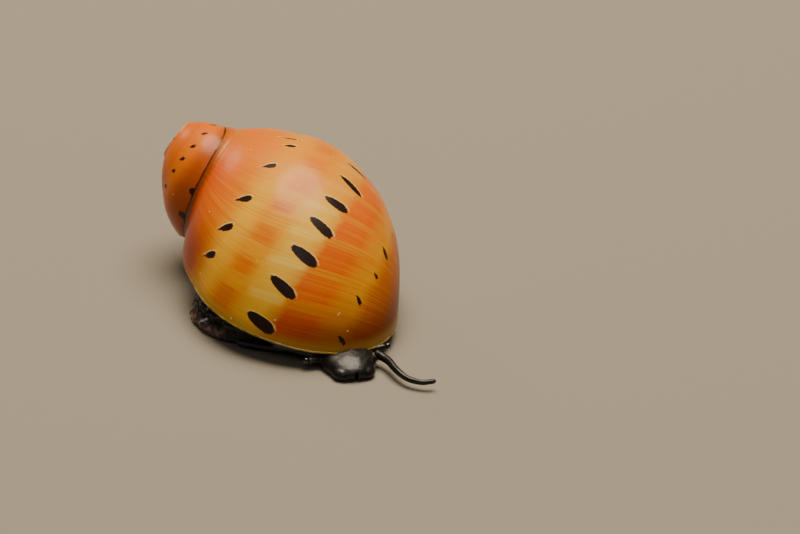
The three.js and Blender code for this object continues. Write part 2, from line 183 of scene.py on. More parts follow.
def lofted(rows: np.ndarray) -> bpy.types.Mesh:
    """Skins rows of points, each a closed loop, and caps both ends.

    Args:
        rows: an array of rows, points in a row, and the three coordinates.

    Returns:
        A closed mesh.
    """
    count, around, _ = rows.shape
    points = np.concatenate([rows.reshape(-1, 3), rows[:1].mean(1), rows[-1:].mean(1)])
    row, place = np.meshgrid(np.arange(count - 1), np.arange(around), indexing="ij")
    after = (place + 1) % around
    low, high = row * around, (row + 1) * around
    faces = np.stack([low + place, low + after, high + after, high + place], -1).reshape(-1, 4).tolist()
    first, last = count * around, count * around + 1
    for j in range(around):
        k = (j + 1) % around
        faces.append([first, k, j])
        faces.append([last, first - around + j, first - around + k])
    return mesh_of(points, faces)


def worked(meshes: list[bpy.types.Mesh], modifiers: list[tuple[str, dict]]) -> bpy.types.Mesh:
    """Runs modifiers on the first mesh, with the second one, if any, as their object.

    Args:
        meshes: the mesh to work on, and one that a boolean needs.
        modifiers: each modifier's type and settings.

    Returns:
        The result as a plain mesh.
    """
    objects = [bpy.data.objects.new("work", mesh) for mesh in meshes]
    for made in objects:
        bpy.context.scene.collection.objects.link(made)
    for kind, settings in modifiers:
        modifier = objects[0].modifiers.new("step", kind)
        for name, value in settings.items():
            setattr(modifier, name, value)
        if kind == "BOOLEAN":
            modifier.object = objects[1]
    graph = bpy.context.evaluated_depsgraph_get()
    result = bpy.data.meshes.new_from_object(objects[0].evaluated_get(graph))
    for made in objects:
        bpy.data.objects.remove(made)
    return result


def combined(base: bpy.types.Mesh, tool: bpy.types.Mesh, how: Cut) -> bpy.types.Mesh:
    """Joins the tool to the base, keeps what lies in both, or takes the tool away."""
    return worked([base, tool], [("BOOLEAN", {"solver": "MANIFOLD", "operation": how.value})])


def block(size: tuple[float, float, float], middle: tuple[float, float, float],
          turn: Quaternion, then: Vector) -> bpy.types.Mesh:
    """Makes a box, moves it, turns it about the origin, and moves it again.

    Args:
        size: its three sizes.
        middle: its first move.
        turn: its turn.
        then: its second move.

    Returns:
        The box.
    """
    work = bmesh.new()
    bmesh.ops.create_cube(work, size=1)
    matrix = Matrix.Translation(then) @ turn.to_matrix().to_4x4()
    matrix = matrix @ Matrix.Translation(middle) @ Matrix.Diagonal((*size, 1))
    bmesh.ops.transform(work, matrix=matrix, verts=work.verts)
    mesh = bpy.data.meshes.new("block")
    work.to_mesh(mesh)
    work.free()
    return mesh


def ball(radii: tuple[float, float, float], middle: Vector, heading: float = 0.0) -> bpy.types.Mesh:
    """Makes a fine ellipsoid.

    Args:
        radii: its half sizes.
        middle: its middle.
        heading: its turn about the vertical, in radians.

    Returns:
        The ellipsoid.
    """
    work = bmesh.new()
    matrix = Matrix.Translation(middle) @ Matrix.Rotation(heading, 4, "Z") @ Matrix.Diagonal((*radii, 1))
    bmesh.ops.create_icosphere(work, subdivisions=5, radius=1, matrix=matrix)
    mesh = bpy.data.meshes.new("ball")
    work.to_mesh(mesh)
    work.free()
    return mesh


def largest(mesh: bpy.types.Mesh, sliver: float = 0.004) -> bpy.types.Mesh:
    """Keeps the biggest connected part of a mesh, in triangles, without its slivers.

    Args:
        mesh: the mesh, which is changed.
        sliver: edges shorter than this many millimetres are closed.

    Returns:
        The same mesh.
    """
    work = bmesh.new()
    work.from_mesh(mesh)
    bmesh.ops.dissolve_degenerate(work, edges=work.edges, dist=sliver)
    bmesh.ops.triangulate(work, faces=work.faces)
    left = set(work.verts)
    best: set = set()
    while left:
        group = {left.pop()}
        edge = list(group)
        while edge:
            vert = edge.pop()
            for link in vert.link_edges:
                other = link.other_vert(vert)
                if other in left:
                    left.discard(other)
                    group.add(other)
                    edge.append(other)
        best = max(best, group, key=len)
    bmesh.ops.delete(work, geom=[v for v in work.verts if v not in best], context="VERTS")
    work.to_mesh(mesh)
    work.free()
    return mesh


def joined(meshes: list[bpy.types.Mesh]) -> bpy.types.Mesh:
    """Puts several meshes into one, without changing their faces.

    Args:
        meshes: the meshes.

    Returns:
        One mesh with all their faces.
    """
    work = bmesh.new()
    for mesh in meshes:
        work.from_mesh(mesh)
    result = bpy.data.meshes.new("joined")
    work.to_mesh(result)
    work.free()
    return result


def positions(mesh: bpy.types.Mesh) -> np.ndarray:
    """Reads the places of a mesh's points.

    Args:
        mesh: the mesh.

    Returns:
        Three coordinates for each point.
    """
    found = np.zeros(len(mesh.vertices) * 3, np.float32)
    mesh.vertices.foreach_get("co", found)
    return found.reshape(-1, 3).astype(float)


def ramp(values: np.ndarray, nought: float, full: float) -> np.ndarray:
    """Gives shares that go from nought to one between two levels of the values."""
    return np.clip((values - nought) / (full - nought), 0, 1)


def curve_through(knots: np.ndarray, along: np.ndarray) -> np.ndarray:
    """Runs a smooth curve through knots.

    Args:
        knots: the knots, one in each row.
        along: places on the curve, counted in knots.

    Returns:
        The curve's points at those places.
    """
    last = len(knots) - 1
    index = np.minimum(along.astype(int), last - 1)
    t = (along - index)[..., None]
    before, here = knots[np.maximum(index - 1, 0)], knots[index]
    there, beyond = knots[index + 1], knots[np.minimum(index + 2, last)]
    leave, arrive = (there - before) / 2, (beyond - here) / 2
    cubic = 2 * here - 2 * there + leave + arrive
    square = 3 * there - 3 * here - 2 * leave - arrive
    return cubic * t ** 3 + square * t ** 2 + leave * t + here


def finished(name: str, mesh: bpy.types.Mesh, material: bpy.types.Material,
             replaces: list[str], sharp: float = 40.0) -> bpy.types.Object:
    """Moves a mesh in millimetres to its place in the frame and makes it a piece of the snail.

    Args:
        name: the piece's name.
        mesh: the mesh, in millimetres, before the solids' centring.
        material: its material.
        replaces: the solids that it stands for.
        sharp: the angle in degrees past which an edge is drawn sharp.

    Returns:
        The finished piece.
    """
    mesh.transform(Matrix.Scale(MM, 4) @ Matrix.Translation(centring()))
    mesh.name = name
    mesh.materials.clear()
    mesh.materials.append(material)
    mesh.shade_smooth()
    mesh.set_sharp_from_angle(angle=math.radians(sharp))
    piece = bpy.data.objects.new(name, mesh)
    bpy.context.scene.collection.objects.link(piece)
    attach(piece, "root")
    if replaces:
        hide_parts(*replaces)
    log.info("%s: %d points, %d faces", name, len(mesh.vertices), len(mesh.polygons))
    return piece


# The shell's geometry


@dataclass(frozen=True)
class Spiral:
    """The law by which the shell grows, in millimetres, and how the snail carries it.

    Attributes:
        section_growth: how fast the section's size and its distance from the axis grow.
        depth_growth: how fast its depth below the apex grows.
        early_section_taper: how much smaller the first whorls are than that law makes them.
        early_depth_taper: how much less deep they lie.
        centre_out: the section centre's distance from the axis at turn nought.
        centre_down: its depth below the apex there.
        section: the angles and radii of the section's outline there.
        axis_azimuth: the compass direction of the axis, in degrees.
        axis_spin: the turn of the spiral's start about the axis.
        close_to_axis: how near the axis a whorl reaches.
        suture_from: the share of the section from which the suture is searched.
        longest: the longest whorl in one piece, in half turns.
        found_to: the last turn at which a point may lie, in half turns.
        solid_to: the last turn of the shell's growth.
    """

    section_growth: float = 0.143
    depth_growth: float = 0.196
    early_section_taper: float = 0.003
    early_depth_taper: float = 0.001
    centre_out: float = 2.46
    centre_down: float = 20.3
    section: tuple[tuple[float, float], ...] = (
        (-93, 16.4), (-75, 16.0), (-58, 15.1), (-36, 13.4), (-11, 11.9),
        (22, 11.15), (44, 11.1), (71, 12.4), (77, 13.25), (88, 15.3),
    )
    axis_azimuth: float = 150.3
    axis_rise: float = 34.4
    axis_spin: float = -50.4
    apex_height: float = 10.6
    close_to_axis: float = 0.12
    suture_from: float = 0.8
    suture_step: float = 0.001
    longest: float = 1.6
    first_lap: int = -4
    found_to: float = 0.34
    solid_to: float = 0.3
    rod_sides: int = 24

    def frame(self) -> Matrix:
        """Works out the shell's own frame: the apex at the origin and +Z out of the apex.

        Returns:
            The matrix from that frame to the model's.
        """
        azimuth, rise, spin = [math.radians(a) for a in (self.axis_azimuth, self.axis_rise, self.axis_spin)]
        north, east = math.sin(azimuth), math.cos(azimuth)
        axis = Vector((math.cos(rise) * east, math.cos(rise) * north, math.sin(rise)))
        level = Vector((-north, east, 0))
        upward = axis.cross(level)
        start = level * math.cos(spin) + upward * math.sin(spin)
        side = upward * math.cos(spin) - level * math.sin(spin)
        turned = Matrix((start, side, axis)).transposed().to_4x4()
        return Matrix.Translation((0, 0, self.apex_height)) @ turned

    def section_at(self, share: np.ndarray) -> tuple[np.ndarray, np.ndarray]:
        """Gives places on the section's outline.

        Args:
            share: how far round the outline, from nought to one.

        Returns:
            The angle in degrees and the radius of each.
        """
        knots = np.array(self.section)
        point = curve_through(knots, np.clip(share, 0, 1) * (len(knots) - 1))
        return point[..., 0], point[..., 1]

    def radius_at(self, angle: np.ndarray) -> np.ndarray:
        """Gives the section's radius at an angle in degrees."""
        angles, radii = self.section_at(np.linspace(0, 1, 800))
        return np.interp(angle, angles, radii)

    def growth(self, turn: np.ndarray) -> tuple[np.ndarray, np.ndarray, np.ndarray]:
        """Gives the size and place of the section.

        Args:
            turn: how far the shell has grown, in radians.

        Returns:
            The section's scale, and its centre's distances from the axis and below the apex.
        """
        early = np.minimum(turn + math.pi, 0) ** 2
        scale = np.exp(self.section_growth * turn - self.early_section_taper * early)
        depth = np.exp(self.depth_growth * turn - self.early_depth_taper * early)
        return scale, scale * self.centre_out, depth * self.centre_down

    def outline(self, turn: np.ndarray, share: np.ndarray, grow: float) -> tuple[np.ndarray, np.ndarray]:
        """Finds points on the whorl's outer face.

        Args:
            turn: how far the shell has grown, in radians.
            share: how far round the section, from nought to one.
            grow: how far outside the face they lie, in millimetres.

        Returns:
            Their distances from the axis and below the apex.
        """
        scale, out, down = self.growth(turn)
        angle, radius = self.section_at(share)
        reach = scale * radius + grow
        lie = np.radians(angle)
        return np.maximum(out + reach * np.cos(lie), self.close_to_axis), down - reach * np.sin(lie)

    def suture_share(self, turn: np.ndarray) -> np.ndarray:
        """Finds where a whorl runs into the whorl before it.

        Args:
            turn: how far the shell has grown, in radians.

        Returns:
            The share of the section at each turn.
        """
        found = np.ones_like(turn)
        open_still = np.ones(turn.shape, bool)
        scale, centre_out, centre_down = self.growth(turn - 2 * math.pi)
        for share in np.arange(self.suture_from, 1, self.suture_step):
            out, down = self.outline(turn, np.full_like(turn, share), 0)
            rise = centre_down - down
            angle = np.degrees(np.arctan2(rise, out - centre_out))
            inside = np.hypot(rise, out - centre_out) < scale * self.radius_at(angle)
            found[open_still & inside] = share
            open_still &= ~inside
        return found

    def placed(self, turn: np.ndarray, out: np.ndarray, down: np.ndarray) -> np.ndarray:
        """Turns places on the spiral into points of the model.

        Args:
            turn: how far the shell has grown, in radians.
            out: the distance from the axis.
            down: the distance below the apex.

        Returns:
            The points.
        """
        local = np.stack([out * np.cos(turn), -out * np.sin(turn), -down], -1)
        matrix = np.array(self.frame())
        return local @ matrix[:3, :3].T + matrix[:3, 3]

    def whorl(self, start: float, end: float, grow: float, step: float, across: int) -> bpy.types.Mesh:
        """Makes a length of whorl, solid from its outer face to the axis.

        Args:
            start: where it begins, in half turns.
            end: where it ends, in half turns.
            grow: how far its face stands outside the shell's own, in millimetres.
            step: degrees between sections.
            across: how many steps each section has.

        Returns:
            A closed mesh.
        """
        count = math.ceil((end - start) * 180 / step)
        turn = math.pi * np.linspace(start, end, count + 1)
        suture = self.suture_share(turn)
        share = suture[:, None] * np.linspace(0, 1, across + 1)[None]
        out, down = self.outline(turn[:, None], share, grow)
        face = self.placed(turn[:, None], out, down)
        near = np.full((count + 1, 1), self.close_to_axis)
        top = self.placed(turn[:, None], near, down[:, -1:])
        base = self.placed(turn[:, None], near, down[:, :1])
        return lofted(np.concatenate([face, top, base], 1))

    def whorls(self, start: float, end: float, grow: float, step: float, across: int) -> bpy.types.Mesh:
        """Makes a longer length of whorl, joined from lengths of less than one turn.

        Args:
            start: where it begins, in half turns.
            end: where it ends, in half turns.
            grow: how far its face stands outside the shell's own, in millimetres.
            step: degrees between sections.
            across: how many steps each section has.

        Returns:
            A closed mesh.
        """
        body = None
        while start < end:
            stop = min(start + self.longest + step / 180, end)
            piece = self.whorl(start, stop, grow, step, across)
            body = combined(body, piece, Cut.JOIN) if body else piece
            start += self.longest
        return body

    def axis_rod(self, top: float, bottom: float, radius: float) -> bpy.types.Mesh:
        """Makes a rod down the axis, which fills the whorls where they meet.

        Args:
            top: where it begins, below the apex.
            bottom: where it ends.
            radius: its radius.

        Returns:
            A closed mesh.
        """
        angle = np.linspace(0, 2 * math.pi, self.rod_sides, endpoint=False)
        out = np.full(self.rod_sides, radius)
        return lofted(np.array([self.placed(angle, out, np.full_like(out, down)) for down in (top, bottom)]))

    def local(self, points: np.ndarray) -> np.ndarray:
        """Brings points of the model into the shell's own frame."""
        matrix = np.linalg.inv(np.array(self.frame()))
        return points @ matrix[:3, :3].T + matrix[:3, 3]

    def unrolled(self, points: np.ndarray, faces: np.ndarray) -> tuple[np.ndarray, np.ndarray, np.ndarray]:
        """Finds where on the spiral each corner of each triangle lies.

        Args:
            points: the mesh's points.
            faces: the three points of each triangle.

        Returns:
            The turn in radians and the section's angle in degrees of each corner, and the
            distance of each face's middle from the whorl's outer face.
        """
        local = self.local(points)
        middle = local[faces].mean(1)
        azimuth = np.arctan2(-middle[:, 1], middle[:, 0])
        best = np.full(len(faces), np.inf)
        chosen = np.zeros(len(faces))
        for lap in range(self.first_lap, 1):
            turn = azimuth + 2 * math.pi * lap
            _, miss = self.section_place(turn, middle)
            miss = np.where(turn > self.found_to * math.pi, np.inf, miss)
            better = miss < best
            best[better], chosen[better] = miss[better], turn[better]
        corner = local[faces]
        lean = np.arctan2(-corner[..., 1], corner[..., 0]) - chosen[:, None]
        turns = chosen[:, None] + (lean + math.pi) % (2 * math.pi) - math.pi
        angles, _ = self.section_place(turns, corner)
        return turns, angles, best

    def holds(self, points: np.ndarray) -> np.ndarray:
        """Finds which points lie inside the shell's outer face.

        Args:
            points: points of the model.

        Returns:
            Whether each does.
        """
        local = self.local(points)
        azimuth = np.arctan2(-local[..., 1], local[..., 0])
        out = np.hypot(local[..., 0], local[..., 1])
        within = np.zeros(out.shape, bool)
        for lap in range(self.first_lap, 1):
            turn = azimuth + 2 * math.pi * lap
            scale, centre_out, centre_down = self.growth(turn)
            rise = centre_down + local[..., 2]
            angle = np.degrees(np.arctan2(rise, out - centre_out))
            near = np.hypot(out - centre_out, rise) < scale * self.radius_at(angle)
            within |= near & (turn < self.solid_to * math.pi)
        return within

    def section_place(self, turn: np.ndarray, local: np.ndarray) -> tuple[np.ndarray, np.ndarray]:
        """Finds where points lie against the section.

        Args:
            turn: the turn of each, in radians.
            local: the points, in the shell's own frame.

        Returns:
            Their angles on the section in degrees, and their distances from the outer face.
        """
        scale, centre_out, centre_down = self.growth(turn)
        out = np.hypot(local[..., 0], local[..., 1]) - centre_out
        rise = centre_down + local[..., 2]
        angle = np.degrees(np.arctan2(rise, out))
        return angle, np.abs(np.hypot(out, rise) - scale * self.radius_at(angle))


@dataclass(frozen=True)
class Mouth:
    """The flat plane of the shell's mouth, in millimetres."""

    height: float = 4.78
    slope_x: float = -0.124
    slope_y: float = 0.088

    def up(self) -> Vector:
        """Returns the plane's upward direction."""
        return Vector((-self.slope_x, -self.slope_y, 1)).normalized()

    def height_at(self, x: float | np.ndarray, y: float | np.ndarray) -> float | np.ndarray:
        """Gives the plane's height over the floor."""
        return self.height + self.slope_x * x + self.slope_y * y

    def over(self, points: np.ndarray) -> np.ndarray:
        """Gives how far points lie above the plane."""
        return (points - np.array((0, 0, self.height))) @ np.array(self.up())

    def slab(self, low: float, high: float) -> bpy.types.Mesh:
        """Makes a wide slab along the plane.

        Args:
            low: the height of its underside over the plane.
            high: the height of its top.

        Returns:
            The slab.
        """
        size = (2 * FAR, 2 * FAR, high - low)
        turn = UP.rotation_difference(self.up())
        return block(size, (0, 0, (low + high) / 2), turn, UP * self.height)


SPIRAL = Spiral()
MOUTH = Mouth()


@dataclass(frozen=True)
class RoundedBase:
    """How the shell's base rounds under behind the mouth, in millimetres.

    Attributes:
        radius: the radius of the rounding.
        leaves: how far the cut stands off the shell at the rounding's top.
        outside: how far it stands off where nothing is rounded.
        middle: the place that it is measured from.
        starts: how far forward the rounding begins.
        full: where it is full.
        around: in how many directions the shell's reach is measured.
        lowest: the height of the lowest one.
        nearest: the least reach that is looked for.
    """

    radius: float = 3.2
    leaves: float = 0.04
    outside: float = 0.5
    middle: tuple[float, float] = (8.5, -7.0)
    starts: float = 1.0
    full: float = -3.0
    around: int = 180
    levels: int = 18
    lowest: float = 0.02
    nearest: float = 2.0
    farthest: float = 17.0
    search_step: float = 0.04
    smoothings: int = 2

    def axes(self) -> np.ndarray:
        """Finds the directions of the mouth's plane.

        Returns:
            Two directions along the plane, and its upward one.
        """
        up = MOUTH.up()
        first = Vector((1, 0, MOUTH.slope_x)).normalized()
        return np.array([first, up.cross(first), up])

    def reach(self, height: float) -> np.ndarray:
        """Finds how far the shell reaches from the middle, all round.

        Args:
            height: the height over the mouth's plane.

        Returns:
            The reach in each direction.
        """
        angle = np.linspace(0, 2 * math.pi, self.around, endpoint=False)
        trial = np.arange(self.nearest, self.farthest, self.search_step)
        first, second, up = self.axes()
        level = first * np.cos(angle)[:, None] + second * np.sin(angle)[:, None]
        start = np.array((*self.middle, MOUTH.height_at(*self.middle))) + up * height
        points = start + trial[None, :, None] * level[:, None, :]
        within = SPIRAL.holds(points)
        return np.where(within, trial[None], 0).max(1)

    def cutter(self) -> bpy.types.Mesh:
        """Makes the solid that the shell is kept within: its own outline, drawn in near the base.

        Returns:
            The solid.
        """
        angle = np.linspace(0, 2 * math.pi, self.around, endpoint=False)
        first, second, up = self.axes()
        level = first * np.cos(angle)[:, None] + second * np.sin(angle)[:, None]
        start = np.array((*self.middle, MOUTH.height_at(*self.middle)))
        azimuth = math.radians(SPIRAL.axis_azimuth)
        forward = np.array((-math.sin(azimuth), math.cos(azimuth), 0))
        edge = start + level * self.reach(self.lowest)[:, None]
        share = ramp(edge @ forward, self.starts, self.full)
        share = share * share * (3 - 2 * share)
        rows = []
        for height in np.linspace(0, self.radius, self.levels + 1):
            lift = max(height, self.lowest)
            inset = self.radius * (1 - math.sqrt(1 - (1 - height / self.radius) ** 2))
            inset -= self.leaves * height / self.radius
            drawn_in = share * (inset + self.outside) - self.outside
            reach = self.reach(lift)
            for _ in range(self.smoothings):
                reach = (np.roll(reach, 1) + 2 * reach + np.roll(reach, -1)) / 4
            rows.append(start + up * height + level * (reach - drawn_in)[:, None])
        rows.append(start + up * (self.radius + 0.01) + level * self.farthest)
        rows.append(start + up * FAR + level * self.farthest)
        return lofted(np.array(rows))


BASE = RoundedBase()


def behind_axis(distance: float) -> bpy.types.Mesh:
    """Makes the block behind a line so far before the shell's axis, seen from above."""
    turn = Quaternion(UP, math.radians(SPIRAL.axis_azimuth - 180))
    return block((2 * FAR, FAR, 2 * FAR), (0, FAR / 2 - distance, 0), turn, Vector())


# Marks on the shell


@dataclass(frozen=True)
class Mark:
    """One dark spot: its place on the spiral, its size in millimetres, and its lean in degrees.

    The lean is measured from the direction towards the mouth's plane, positive with growth.
    """

    half_turns: float
    angle: float
    half_length: float
    half_width: float
    lean: float
    tail: float = 0.0


def spot_rows(seed: int = 7) -> list[Mark]:
    """Lists every spot: the rows that the near side shows, carried on by rule round the shell.

    Args:
        seed: the start of the chance that jitters the spots added by rule.

    Returns:
        The spots, row by row.
    """
    chance = np.random.default_rng(seed)
    marks: list[Mark] = []

    def carry_on(seen: Iterable[float], first: float, last: float, spacing: float) -> list[float]:
        """Adds turns before and after the seen ones.

        Args:
            seen: the half turns of the seen spots.
            first: the half turn at which the row begins.
            last: the half turn at which it ends.
            spacing: the usual step between spots, which is jittered.

        Returns:
            The half turns of all the row's spots.
        """
        turns = sorted(seen)
        while turns[0] > first:
            turns.insert(0, turns[0] - spacing * chance.uniform(0.8, 1.2))
        while turns[-1] < last:
            turns.append(turns[-1] + spacing * chance.uniform(0.9, 1.1))
        return turns

    upper = {mark.half_turns: mark for mark in (
        Mark(-0.349, 37.2, 0.7, 0.25, -44, 1.4),
        Mark(-0.432, 37.8, 0.72, 0.27, -44, 1.4),
        Mark(-0.525, 38.5, 0.62, 0.26, -38, 1.4),
        Mark(-0.657, 38.6, 0.54, 0.23, -37, 1.1),
        Mark(-0.779, 36.3, 0.52, 0.19, -20),
        Mark(-0.833, 39.4, 0.85, 0.11, -15),
    )}
    for turn in carry_on(upper, -1.9, -0.35, 0.1):
        size = math.exp(0.4 * turn) * chance.uniform(0.8, 1.1)
        carried = Mark(turn, 37 + chance.uniform(-1, 1), 0.56 * size, 0.29 * size, -42, 1.4 * size)
        marks.append(upper.get(turn, carried))
    middle = {mark.half_turns: mark for mark in (
        Mark(-0.366, -8.2, 1.36, 0.46, -12.6),
        Mark(-0.452, -8.5, 1.3, 0.42, -6),
        Mark(-0.533, -8.9, 1.3, 0.43, -10),
        Mark(-0.611, -7.9, 1.22, 0.39, -6),
        Mark(-0.687, -7.6, 1.14, 0.36, -16.5),
        Mark(-0.777, -8.5, 1.18, 0.3, -3),
        Mark(-0.875, -7.9, 1.1, 0.22, -20),
    )}
    for turn in carry_on(middle, -1.95, 0.1, 0.085):
        size = math.exp(0.25 * (turn + 0.5)) * chance.uniform(0.8, 1.02)
        carried = Mark(turn, -8.3, 1.26 * size, 0.4 * size, -10 + chance.uniform(-6, 6))
        marks.append(middle.get(turn, carried))
    lower = {mark.half_turns: mark for mark in (
        Mark(-0.651, -43.5, 0.3, 0.17, 20),
        Mark(-0.729, -43.0, 0.54, 0.2, 15),
        Mark(-0.826, -42.8, 0.34, 0.08, 24),
    )}
    for turn in carry_on(lower, -1.9, 0.1, 0.09):
        size = chance.uniform(0.6, 1.05)
        carried = Mark(turn, -42 + chance.uniform(-1.5, 1.5), 0.52 * size, 0.22 * size, 14)
        marks.append(lower.get(turn, carried))
    for turn in carry_on([-2.299, -2.404, -2.519, -2.662, -2.854], -5.0, -2.0, 0.12):
        size = math.exp(0.3 * (turn + 2.4)) * chance.uniform(0.85, 1.1)
        marks.append(Mark(turn, 33.5 + chance.uniform(-1, 1), 0.33 * size, 0.15 * size, -46))
    for turn in (-2.343, -2.189):
        marks.append(Mark(turn, -9.5, 0.45, 0.3, -20))
    return marks


def slant(angle: np.ndarray) -> np.ndarray:
    """Gives how many half turns growth lines run ahead of the widest line's turn, at an angle."""
    rise = np.clip(angle, -75, 88) + 5
    return 0.00231 * rise - 1.217e-5 * rise ** 2


@dataclass
class ShellSurface:
    """The values that the shell's material reads at each corner of its mesh.

    Attributes:
        turns: each corner's turn on the spiral, in radians.
        angles: each corner's angle on the section, in degrees.
        squareness: the power of a spot's outline, two being an ellipse.
        swelling: how much wider a spot is at its upper end than at its middle.
        nearby: how far from a spot corners are measured, in millimetres.
        radius: the section's usual radius, which the growth map's height is drawn with.
    """

    turns: np.ndarray
    angles: np.ndarray
    squareness: float = 2.4
    swelling: float = 0.18
    nearby: float = 4.0
    beyond: float = 9.0
    radius: float = 12.0

    def local_mm(self, mark: Mark) -> tuple[np.ndarray, np.ndarray]:
        """Measures from a mark, in millimetres.

        Args:
            mark: the mark.

        Returns:
            How far each corner lies along growth, and how far up the section.
        """
        turn = mark.half_turns * math.pi
        scale = float(SPIRAL.growth(np.array(turn))[0])
        radius = float(SPIRAL.radius_at(np.array(mark.angle)))
        out = scale * (SPIRAL.centre_out + radius * math.cos(math.radians(mark.angle)))
        return (self.turns - turn) * out, np.radians(self.angles - mark.angle) * scale * radius

    def spots(self, marks: list[Mark]) -> tuple[np.ndarray, np.ndarray]:
        """Finds each corner's nearest spot.

        Args:
            marks: every spot.

        Returns:
            The distance from its edge in mm, negative inside, and how far the corner lies to
            its later side, in half widths.
        """
        nearest = np.full(self.turns.shape, self.beyond)
        side = np.zeros(self.turns.shape)
        for mark in marks:
            along, up = self.local_mm(mark)
            near = (np.abs(along) < self.nearby) & (np.abs(up) < self.nearby)
            if not near.any():
                continue
            lean = math.radians(mark.lean)
            a = along[near] * math.sin(lean) - up[near] * math.cos(lean)
            b = along[near] * math.cos(lean) + up[near] * math.sin(lean)
            long = np.abs(a / mark.half_length) ** self.squareness
            swell = 1 + self.swelling * a / mark.half_length
            wide = np.abs(b / (mark.half_width * swell)) ** self.squareness
            distance = ((long + wide) ** (1 / self.squareness) - 1) * mark.half_width
            if mark.tail:
                share = np.clip(-a / mark.tail, 0, 1)
                thin = mark.half_width * (0.75 - 0.7 * share)
                distance = np.minimum(distance, np.hypot(a + share * mark.tail, b) - thin)
            side[near] = np.where(distance < nearest[near], b / mark.half_width, side[near])
            nearest[near] = np.minimum(nearest[near], distance)
        return nearest, side

    def growth_turn(self) -> np.ndarray:
        """Gives the half turn at which each corner was laid down, along the growth lines."""
        return self.turns / math.pi - slant(self.angles)

    def in_mm(self) -> np.ndarray:
        """Gives each corner's length along the whorl and up the section, in millimetres.

        Returns:
            The two lengths of each corner, for the growth UV map.
        """
        girth = SPIRAL.centre_out + SPIRAL.radius_at(np.array(-11.0))
        scale = np.exp(SPIRAL.section_growth * math.pi * self.growth_turn())
        along = girth / SPIRAL.section_growth * scale
        return np.stack([along, self.radius * scale * np.radians(self.angles)], -1)


